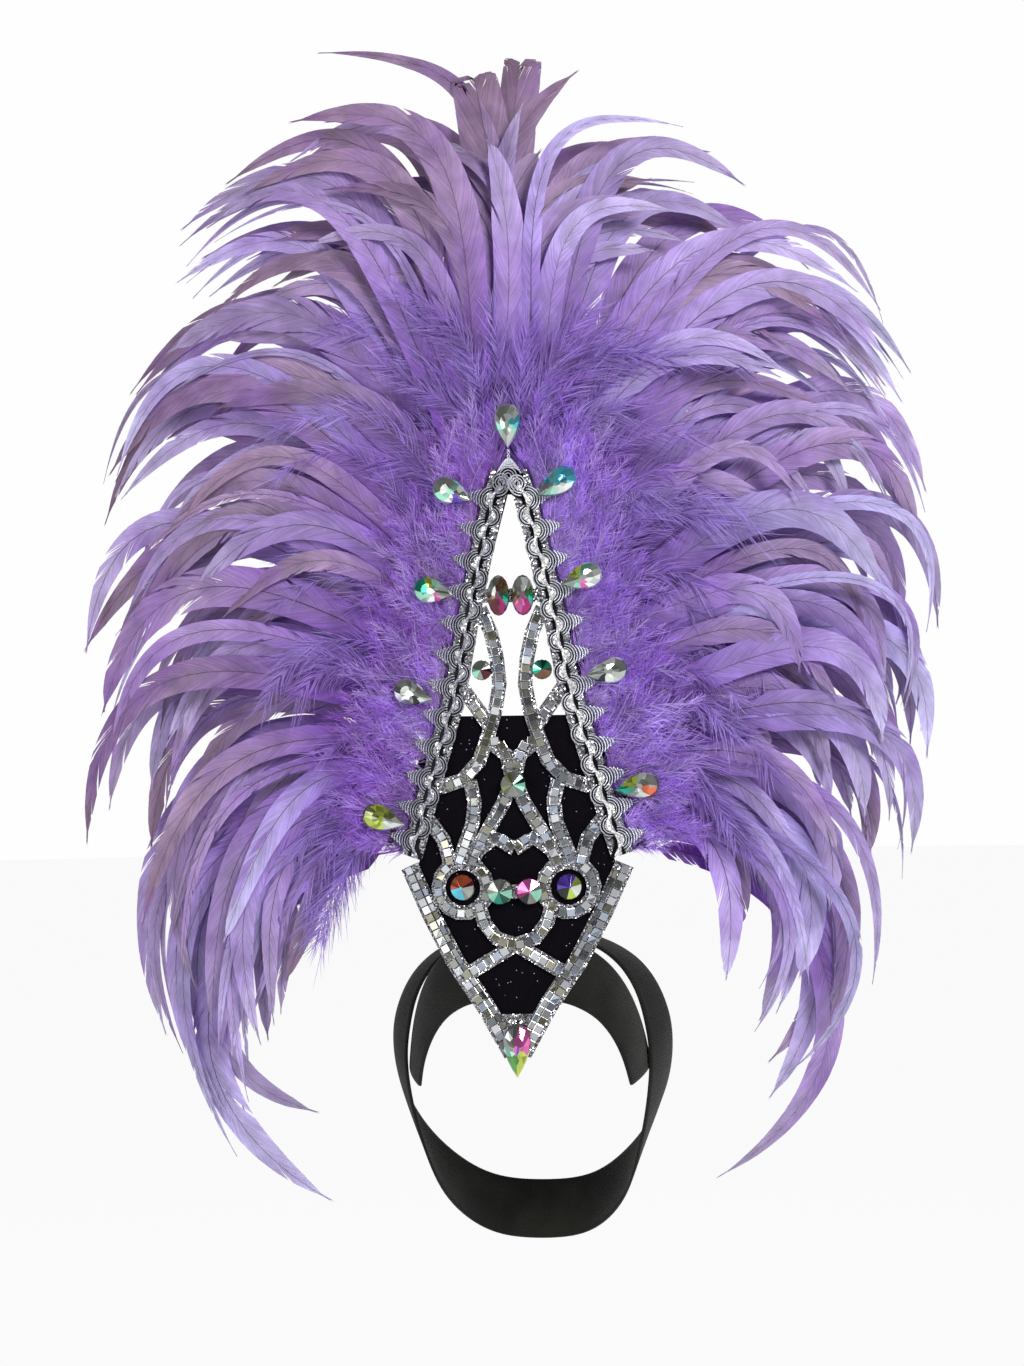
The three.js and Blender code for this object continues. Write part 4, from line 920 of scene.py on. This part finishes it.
def add_wisp(pile, plume, side, layer, random, reach_most):
    """A soft feather of loose separate barbs, as grows between the vane and the down."""
    path = plume_path(plume, side)
    length = path.length
    column = (WISP_BARBS, 1)
    root = np.sort(random.uniform(0.18, 1, WISP_BARBS))[:, None]
    hand = np.where(np.arange(WISP_BARBS) % 2, 1.0, -1.0)[:, None]
    s = WISP_STATIONS
    swell = np.sqrt(np.sin(np.pi * root**0.8 * 0.92) + 0.1)
    reach_end = reach_most * random.uniform(0.5, 1.1, column) * swell
    lean = np.radians(random.uniform(24, 46, column) * (1.15 - 0.6 * root))
    along = root * length + reach_end / np.tan(lean) * s
    reach = reach_end * s**0.9 + random.normal(0, 2.4, column) * s**2
    middle = path.beside(along, reach * hand)
    base = sheet_depth(middle, layer) + random.normal(-0.6, 2.2, column) * s
    across = right_of(unit(np.gradient(middle, axis=1), 1e-6))
    width = WISP_BARB * WISP_TAPER
    tilt = random.uniform(-0.3, 0.3, column)
    points = np.stack([stood(middle + across * width * sign, base + sign * tilt) for sign in (-1, 1)], 2)
    pale = mix(LILAC, LAVENDER, random.uniform(0, 0.8))
    tone = mix(VIOLET, pale, np.clip(0.1 + 0.5 * root + 0.4 * s, 0, 1))
    tone = tone * random.uniform(0.8, 1.2, (WISP_BARBS, 1, 1))
    pile.grids(points, np.clip(tone[:, :, None], 0, 1))
    flat = path.at(np.linspace(0, length * 0.96, len(WISP_QUILL)))
    tint = mix(VIOLET, PALE, random.uniform(0.1, 0.9))
    pile.tube(stood(flat, sheet_depth(flat, layer)), WISP_QUILL, 3, tint)


def layer_of(index, count, band):
    """The layer of one of a group's feathers, so that neighbours lie apart."""
    share = (index * 3 % count) / (count - 1) if count > 1 else 0.5
    return band[0] + share * (band[1] - band[0])


def between(plumes, place, random, reaches):
    """A plume between two of the table's, shorter than they are."""
    index = min(int(place), len(plumes) - 2)
    share = place - index
    a, b = (np.array(plumes[i]) for i in (index, index + 1))
    row = Plume(*(a * (1 - share) + b * share))
    root = leg_path.at(row.root * leg_path.length) / [SPRAY_ACROSS, SPRAY_UP]
    reach = random.uniform(*reaches)
    turn = row.hook - row.lift
    return row._replace(
        root=float(np.clip(row.root + random.normal(0, 0.012), 0, 1)),
        lift=row.lift + random.normal(0, 4) - 4 * (1 - reach),
        across=root[0] + (row.across - root[0]) * reach + random.normal(0, 0.018),
        up=root[1] + (row.up - root[1]) * reach + random.normal(0, 0.012) + 0.10 * (1 - reach) * (turn > 60),
        hook=row.lift + turn * (0.35 + 0.65 * reach) + random.normal(0, 9),
        wide=random.uniform(0.72, 1.08),
    )


def make_spray(plumes, side, side_name, seed, warm_top, warm_low):
    random = np.random.default_rng(seed)

    def add(plume, layer, warmth, sway):
        add_feather(pile, plume, side, layer, random, clip_share(random.normal(warmth, sway)))

    def even(i, count):
        """A place in one of the equal parts of the group."""
        return low + (i + random.random()) / count * (top - low)

    groups = int(len(plumes) / PLUMES_PER_GROUP + 0.5)
    borders = [int(group * len(plumes) / groups + 0.5) for group in range(groups + 1)]
    for group, (first, last) in enumerate(zip(borders, borders[1:])):
        own = plumes[first:last]
        band = LAYER_BANDS[group % len(LAYER_BANDS)]
        pile = Pile()
        low, high = max(0, first - 0.5), min(len(plumes) - 1.001, last - 0.5)
        warm = warm_top + (warm_low - warm_top) * (first + last) / 2 / len(plumes)
        top = min(high, len(plumes) - HANGING_PLUMES)
        share = (top - low) / (high - low)
        for i, plume in enumerate(own):
            add(plume, layer_of(i, len(own), band), warm, 0.25)
        full = int(FULL_FILLERS * len(own) * share)
        for i in range(full):
            made = between(plumes, even(i, full), random, FULL_REACH)
            add(made, random.uniform(-0.9, 1.0), warm, 0.28)
        for _ in range(int(NARROW_FILLERS * len(own))):
            made = between(plumes, random.uniform(low, top), random, NARROW_REACH)
            made = made._replace(wide=random.uniform(0.26, 0.46))
            add(made, random.uniform(-1.1, 0.8), warm - 0.25, 0.25)
        shorter = int(SHORT_FILLERS * len(own) * share)
        for i in range(shorter):
            made = between(plumes, even(i, shorter), random, SHORT_REACH)
            made = made._replace(wide=random.uniform(0.6, 0.95))
            add(made, random.uniform(-1.1, 0.5), warm, 0.28)
        for _ in range(int(WISPS * len(own))):
            made = between(plumes, min(random.uniform(low, high), len(plumes) - 5), random, WISP_REACH)
            add_wisp(pile, made, side, random.uniform(-1.4, -0.5), random, random.uniform(9, 17))
        name = f"{side_name}_{group + 1}"
        pile.make("feathers_" + name, FEATHER, "feather", ["plumes_" + name])


def clip_share(value):
    return float(min(1.0, max(0.0, value)))


def make_top_spray():
    random = np.random.default_rng(5)
    pile = Pile()
    for i, (side, plume) in enumerate(TOP_PLUMES):
        layer = layer_of(i, len(TOP_PLUMES), LAYER_BANDS[2])
        blunt = plume.wide > BLUNT_FROM
        add_feather(pile, plume, side, layer, random, clip_share(random.normal(0.95, 0.1)), 0.03, blunt)
    for _ in range(TOP_FILLERS):
        side = random.choice([-1, 1])
        lean = random.uniform(0, 1)
        plume = Plume(
            root=random.uniform(0, 0.06),
            lift=random.uniform(-4, 10) * lean,
            across=0.02 + 0.36 * lean**1.5 + random.normal(0, 0.01),
            up=random.uniform(0.74, 0.93) - 0.06 * lean,
            hook=8 + 90 * lean**1.2 + random.normal(0, 8),
            wide=random.uniform(0.85, 1.2),
        )
        warm = clip_share(random.normal(0.7, 0.22))
        add_feather(pile, plume, side, random.uniform(-0.9, 0.6), random, warm, 0.03, lean < 0.12)
    for _ in range(TOP_WISPS):
        lean = random.uniform(-1, 1)
        side, lean = (-1 if lean < 0 else 1), abs(lean)
        plume = Plume(0.03, 6 * lean, 0.03 + 0.22 * lean, random.uniform(0.58, 0.70), 10 + 60 * lean)
        add_wisp(pile, plume, side, random.uniform(-1.5, -0.8), random, random.uniform(9, 15))
    pile.make("feathers_top", FEATHER, "feather", ["plumes_top"])


make_spray(LEFT_PLUMES, -1, "left", 21, 0.85, 0.45)
make_spray(RIGHT_PLUMES, 1, "right", 22, 0.60, 0.35)
make_top_spray()


# Down: small plumelets with fine barbs along the outside of the legs

PLUMELETS = 360
BARBS = 44
FLUFF_OUT = 44
BARB_WIDTH = 0.36
LOW_EDGE = 50
PICOT_REACH = 20
DOWN_FRONT, DOWN_BELOW_STONE, DOWN_BEHIND_BRAID, DOWN_BACK = -9.0, -4.6, 4.5, 9.0
DOWN_QUILL = 0.16
DOWN_STATIONS = np.array([0.0, 0.4, 0.75, 1.0])
DOWN_TAPER = np.array([1.0, 0.85, 0.55, 0.15])[None, None, :, None]
DOWN_LENGTH = (20, 50)
DOWN_RISE = (-7.0, 3.5)
STONE_CLEAR = 15.5


def make_down(side, side_name, seed):
    random = np.random.default_rng(seed)
    count = PLUMELETS
    each = (count, BARBS)
    share = random.uniform(0, 1, count)
    distance = share * leg_path.length
    foot = leg_path.at(distance)
    out_turn = np.radians(np.minimum(8 + 78 * share + random.normal(0, 16, count), 104 - 8 * share))
    heading = np.stack([np.sin(out_turn), np.cos(out_turn)], -1)
    side_way = right_of(heading)
    normal = leg_path.right(distance)
    normal = normal * np.sign(normal[:, :1])
    start = 2 + (FLUFF_OUT * 0.8 - 2) * random.uniform(0, 1, count) ** 1.7
    origin = foot + normal * start[:, None]
    length = random.uniform(*DOWN_LENGTH, count) * np.where(share > 0.93, 0.6, 1)
    rise = random.uniform(*DOWN_RISE, count)
    bend = random.normal(0, 0.3, count)

    t = np.linspace(0, 1, 7)[None, :, None]
    quill = origin[:, None] + heading[:, None] * length[:, None, None] * t
    quill = quill + side_way[:, None] * (bend * length)[:, None, None] * t**2
    lift = rise[:, None] + 2.0 * t[..., 0] * random.uniform(-1, 1.2, (count, 1))

    barb = np.sort(random.uniform(0.05, 1, each), axis=1)
    hand = np.where(np.arange(BARBS) % 2, 1.0, -1.0)[None]
    low = np.minimum((barb * 6).astype(int), 5)
    part = (barb * 6 - low)[..., None]
    rows = np.arange(count)[:, None]
    base = quill[rows, low] * (1 - part) + quill[rows, low + 1] * part
    base_y = lift[rows, low] * (1 - part[..., 0]) + lift[rows, low + 1] * part[..., 0]
    angle = np.radians(random.uniform(20, 54, each) * (1.15 - 0.75 * barb)) * hand
    way = heading[:, None] * np.cos(angle)[..., None] + side_way[:, None] * np.sin(angle)[..., None]
    reach = length[:, None] * random.uniform(0.25, 0.52, each) * np.sqrt(1.08 - barb)
    curl = random.normal(0, 0.2, each)
    out_y = random.normal(0, 0.26, each)
    s = DOWN_STATIONS
    across_way = right_of(way)
    middle = base[:, :, None] + way[:, :, None] * (reach[..., None] * s)[..., None]
    middle = middle + across_way[:, :, None] * ((curl * reach)[..., None] * s**2)[..., None]
    y = base_y[..., None] + (out_y * reach)[..., None] * s
    width = BARB_WIDTH / 2 * DOWN_TAPER
    flat = np.stack([middle + across_way[:, :, None] * width * sign for sign in (-1, 1)], 3)
    spread = random.uniform(-0.8, 0.8, (count, BARBS, 1)) * width[..., 0]
    y = np.stack([y - spread, y + spread], -1)

    far = leg_distance(middle)
    leg_across = np.interp(middle[..., 1], leg_path.points[::-1, 1], leg_path.points[::-1, 0])
    inside = (middle[..., 0] < leg_across) & (middle[..., 1] < leg_path.points[0, 1])
    keep = ~inside.any(-1) & (middle[..., 0] > 0.6).all(-1)
    lowest = LOW_EDGE + random.uniform(0, 14, each)
    keep &= (middle[..., 1] > lowest[..., None]).all(-1)
    swell = np.interp(far, [PICOT_REACH, PICOT_REACH + 9], [0.4, DOWN_FRONT])
    below_stones = np.where(near_stone(middle, side), np.maximum(swell, DOWN_BELOW_STONE), swell)
    front = np.where(far < 9, DOWN_BEHIND_BRAID, below_stones)
    y = np.clip(y, front[..., None], DOWN_BACK)
    points = face_point(flat * [side, 1], y)

    warm = random.uniform(0, 1, (count, 1))
    tone = mix(DOWN_VIOLET, DOWN_PLUM, warm * (0.9 if side < 0 else 0.25))
    tone = mix(tone, DOWN_PALE, random.uniform(0, 0.8, (count, 1)) ** 2)
    tone = tone[:, :, None] * (0.62 + 0.75 * s)[None, None, :, None]
    tone = tone * random.uniform(0.75, 1.25, (count, BARBS, 1, 1))
    tone = np.broadcast_to(tone[..., None, :], points.shape)
    pile = Pile()
    pile.grids(points[keep], np.clip(tone[keep], 0, 1))
    for i in range(count):
        quill_y = np.clip(lift[i], DOWN_BEHIND_BRAID if start[i] < 12 else DOWN_FRONT, DOWN_BACK)
        if np.all(leg_distance(quill[i]) > 1.0):
            line = face_point(quill[i] * [side, 1], quill_y)[::2]
            pile.tube(line, DOWN_QUILL, 3, mix(PALE, VIOLET, random.uniform(0, 1)))
    pile.make(f"down_{side_name}", DOWN, "down", [f"fluff_{side_name}"])


def near_stone(flat, side):
    """Whether points lie before or behind one of the pears on this side."""
    found = np.zeros(flat.shape[:-1], bool)
    for stone in STONES:
        if is_pear(stone) and stone.across * side >= 0:
            middle = on_plate([(stone.across * side, stone.up)])[0]
            found |= np.linalg.norm(flat - middle, axis=-1) < STONE_CLEAR
    return found


make_down(-1, "left", 31)
make_down(1, "right", 32)


# Braid: C scrolls of cord inside, shells and picots outside, and a wave of glitter between

# The duller silver and glitter are painted shade, used for the left braid and for the fan's left and lower
# scrolls, on the side away from the key light.
SILVER, SHADED_SILVER = colours("#e2e4ee", "#b2b3be")
GLINT, SHADED_GLINT = colours("#ffffff", "#b4b5bf")
UNDER = colour("#111014")
CORD = 0.5
BRAID_FACE = -CLEARANCE - 0.2
SCROLL_RADII = (1.7, 3.5, 5.3, 7.1)
SHELL_RADII = (5.2, 6.9, 8.6)
PICOTS = ((1.9, 5.4), (3.7, 4.3), (5.5, 3.2), (7.1, 2.1))
PICOT_TURN = 40
FAN_FOOT = (0, 0.9885)
FAN_UNDER = [(-9.5, -17), (-1.5, -13), (1.5, -13), (9.5, -17), (9.5, 0), (6, 5), (0, 9.5), (-6, 5), (-9.5, 0)]
FAN_ARCS = ((0.0, 8.0), (1.6, 7.2), (3.2, 6.3), (4.8, 5.3), (6.3, 4.3), (7.7, 3.3), (8.9, 2.3))
# The fan's left and lower scrolls take the painted-shade silver.
FAN_SCROLLS = ((-1, 5.0, SHADED_SILVER), (1, 6.0, SILVER), (-0.1, 1.0, SHADED_SILVER))
FAN_SCROLL_RADII = (5.6, 3.8, 2.0)
SEQUIN_RADIUS = 1.7
SEQUIN_SIDES = 10


def flat_cord(pile, flat, depth, radius, tint, side, sides=5):
    """A cord on the braid's face, on the right for side 1 and mirrored for side -1."""
    pile.tube(face_point(np.asarray(flat, float), depth) * [side, 1, 1], radius, sides, tint)


def arc_points(middle, radius, start, end, along, outward, count=13):
    """An arc round a middle, from one turn to another, in a frame along and across the braid."""
    turn = np.linspace(math.radians(start), math.radians(end), count)[:, None]
    return middle + radius * (np.cos(turn) * along + np.sin(turn) * outward)


def cord_arc(pile, arc, depth, radius, tint, side):
    """A cord along the arc that arc_points gives."""
    flat_cord(pile, arc_points(*arc), depth, radius, tint, side)


def leg_outward(legs, distance):
    """The way from the leg's middle to its outer side."""
    right = legs.right(distance)
    return right * np.sign(legs.right(legs.length / 2)[0])


def braid_ribbon(pile, legs, distance, inner, outer, rise, crown, tint, side):
    """A ribbon on the braid, crowned across, between two reaches from its middle."""
    share = np.linspace(0, 1, 5)
    out = leg_outward(legs, distance)[:, None]
    reach = inner[:, None] + (outer - inner)[:, None] * share
    flat = legs.at(distance)[:, None] + out * reach[..., None]
    points = face_point(flat, BRAID_FACE - rise - crown * np.sin(share * math.pi))
    pile.grids(points[None] * [side, 1, 1], tint)


def make_braid(side, side_name, seed, cord_tone, glint_tone):
    random = np.random.default_rng(seed)
    legs = Path(smooth(on_plate(LEG[1:])))
    scallops = int(legs.length / SCALLOP_PITCH)
    pitch = legs.length / scallops
    cords, glints = Pile(), Pile()
    band = np.linspace(0, legs.length, 240)
    swing = np.cos(2 * math.pi * (band / pitch - 0.5))
    braid_ribbon(cords, legs, band, -4.6 + 2.6 * swing, 6.0 + 3.2 * swing, 0.1, 0.4, UNDER, side)
    centre, half = 0.2 + 2.4 * swing, 2.5 * (0.42 + 0.58 * np.abs(swing))
    braid_ribbon(glints, legs, band, centre - half, centre + half, 1.0, 1.1, glint_tone, side)
    for scallop in range(scallops * 2):
        distance = scallop / 2 * pitch
        along, out = legs.heading(distance), leg_outward(legs, distance)
        middle = legs.at(distance)
        if scallop % 2 == 0:
            for ring, radius in enumerate(SCROLL_RADII):
                tone = cord_tone * random.uniform(0.8, 1.15)
                sweep = 118 - 12 * ring
                arc = (middle - out * 0.4, radius, 270 - sweep, 270 + sweep, along, out)
                cord_arc(cords, arc, BRAID_FACE - 0.9 - 0.1 * ring, CORD, tone, side)
            continue
        for radius in SHELL_RADII:
            tone = cord_tone * random.uniform(0.8, 1.15)
            arc = (middle + out * 0.9, radius, 12, 168, along, out)
            cord_arc(cords, arc, BRAID_FACE - 0.8, CORD, tone, side)
        foot = middle + out * (0.9 + SHELL_RADII[-1])
        for reach, wide in PICOTS:
            bow = wide / math.sin(math.radians(PICOT_TURN))
            low, high = 90 - PICOT_TURN, 90 + PICOT_TURN
            arc = (foot + out * (reach - bow), bow, low, high, along, out, 9)
            tone = cord_tone * random.uniform(1.0, 1.2)
            cord_arc(cords, arc, BRAID_FACE - 0.6, CORD * 1.25, tone, side)
        loop = arc_points(foot + out * 9.4, 1.0, 0, 330, out * 1.9, along, 10)
        flat_cord(cords, loop, BRAID_FACE - 0.4, CORD * 0.6, cord_tone, side, 4)
    for distance in np.arange(pitch / 2, legs.length, pitch):
        for step in (-1.5, 1.5):
            place = distance + step * 1.4 + random.normal(0, 0.4)
            point = legs.at(place) + leg_outward(legs, place) * (2.6 + random.normal(0, 0.5))
            turn = np.linspace(0, 2 * math.pi, SEQUIN_SIDES, endpoint=False)
            lean = random.normal(0, 0.25, 2)
            disc = np.stack([np.cos(turn), np.sin(turn)], -1) * SEQUIN_RADIUS
            rim = face_point(point + disc, BRAID_FACE - 2.3 + disc @ lean)
            hub = face_point(point[None], BRAID_FACE - 2.5)
            points = np.vstack([rim, hub]) * [side, 1, 1]
            faces = [(k, (k + 1) % SEQUIN_SIDES, SEQUIN_SIDES) for k in range(SEQUIN_SIDES)]
            glints.add(points[None], faces, GLINT * random.uniform(0.5, 1.0))
    node = f"braid_{side_name}"
    cords.make(f"{node}_cords", THREAD, "silver_braid", [node])
    glints.make(f"{node}_glints", SEQUIN, "silver_braid")


def make_fan():
    """Scrolls over the apex, and nested arcs that narrow toward a looped cord to the top stone."""
    pile = Pile()
    foot = on_plate([FAN_FOOT])[0]
    up, across = np.array([0.0, 1.0]), np.array([1.0, 0.0])
    pile.add(face_point(foot + np.array(FAN_UNDER), BRAID_FACE - 0.6)[None], [range(len(FAN_UNDER))], UNDER)
    for rise, radius in FAN_ARCS:
        arc = (foot + up * rise, radius, 6, 174, across, up * 0.6)
        cord_arc(pile, arc, BRAID_FACE - 1.6, CORD, SILVER * 0.9, 1)
    for lean, drop, tone in FAN_SCROLLS:
        for radius in FAN_SCROLL_RADII:
            arc = (foot + across * lean * 5.0 - up * drop, radius, -60, 250, across, up, 18)
            cord_arc(pile, arc, BRAID_FACE - 1.7 - 0.3 * abs(lean), CORD * 0.95, tone, 1)
    twist = np.linspace(0, 1, 14)[:, None]
    for lean in (-1, 1):
        line = foot + up * (9.5 + 6.8 * twist) + across * lean * 0.75 * np.cos(twist * 9)
        flat_cord(pile, line, BRAID_FACE - 1.2, CORD * 0.8, SILVER, 1)
    pile.make("braid_fan_cords", THREAD, "silver_braid", ["braid_apex_fan"])


# The left braid takes painted shade: darker copies of the cord silver and the glitter.
make_braid(-1, "left", 41, SHADED_SILVER, SHADED_GLINT)
make_braid(1, "right", 42, SILVER, GLINT)
make_fan()


# Straps: the CAD straps' own shapes, rounded by subdivision that keeps their edges

EDGE_CREASE = 0.75
EDGE_TURN = math.radians(45)
ROUNDING = 2


def make_strap(name):
    work = bmesh.new()
    work.from_mesh(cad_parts[name].data)
    bmesh.ops.remove_doubles(work, verts=work.verts, dist=1e-6)
    bmesh.ops.join_triangles(
        work, faces=work.faces, angle_face_threshold=0.6, angle_shape_threshold=3.1, cmp_seam=False,
        cmp_sharp=False, cmp_uvs=False, cmp_vcols=False, cmp_materials=False,
    )
    creases = work.edges.layers.float.new("crease_edge")
    for edge in work.edges:
        if edge.calc_face_angle(0) > EDGE_TURN:
            edge[creases] = EDGE_CREASE
    mesh = bpy.data.meshes.new(name + "_fabric")
    work.to_mesh(mesh)
    work.free()
    mesh.polygons.foreach_set("use_smooth", np.full(len(mesh.polygons), True))
    piece = placed(name + "_fabric", mesh)
    finer = piece.modifiers.new("finer", "SUBSURF")
    finer.levels = finer.render_levels = ROUNDING
    finished(piece, STRAP, [name])


make_strap("head_loop_strap")
make_strap("front_band_left")
make_strap("front_band_right")


# Stage: a pale floor far below, a pale backdrop and soft lights

FLOOR_UP = -0.62
FLOOR_SIZE = 30
DOME_RADIUS = 14
LIGHTS = [
    ("key", (1.5, -2.3, 1.7), 1.0, 84),
    ("fill", (-2.0, -1.9, 0.7), 1.6, 32),
    ("rim", (-0.3, 2.2, 1.7), 1.4, 24),
]


def make_floor():
    mesh = bpy.data.meshes.new("floor")
    w = FLOOR_SIZE / 2
    mesh.from_pydata([(-w, -w, 0), (w, -w, 0), (w, w, 0), (-w, w, 0)], [], [range(4)])
    mesh.materials.append(stage_look("floor", "#fcfcfd", 0.97, "#181818"))
    plane = placed("floor", mesh)
    plane.location = (0, 0, FLOOR_UP)


def make_light(name, place, size, power):
    light = placed(name, bpy.data.lights.new(name, "AREA"))
    light.data.size = size
    light.data.energy = power
    light.location = place
    light.rotation_euler = (VIEW_AIM - Vector(place)).to_track_quat("-Z", "Y").to_euler()


def studio_world():
    """Soft light with brighter and darker parts of the room, which the mirrors pick up."""
    world = bpy.data.worlds.new("studio")
    bpy.context.scene.world = world
    nodes = Nodes(world)
    where = nodes.node("TexCoord").outputs["Generated"]
    level = nodes.span(nodes.noise(where, 2.2, 1.5), 0.36, 0.64, 0.42, 1.5)
    nodes.link(level, nodes.tree.nodes["Background"].inputs["Strength"])


def make_dome():
    """A pale backdrop all round, which the camera sees and which casts no light."""
    mesh = bpy.data.meshes.new("backdrop")
    shape = bmesh.new()
    bmesh.ops.create_icosphere(shape, subdivisions=4, radius=DOME_RADIUS)
    shape.to_mesh(mesh)
    shape.free()
    dome = placed("backdrop", mesh)
    mesh.materials.append(stage_look("backdrop", "#fdfdfe", 1.0, "#000000"))
    for kind in ("diffuse", "glossy", "transmission", "shadow", "volume_scatter"):
        setattr(dome, "visible_" + kind, False)


def make_stage():
    bpy.context.scene.view_settings.view_transform = "Standard"
    studio_world()
    make_dome()
    make_floor()
    for light in LIGHTS:
        make_light(*light)


make_stage()
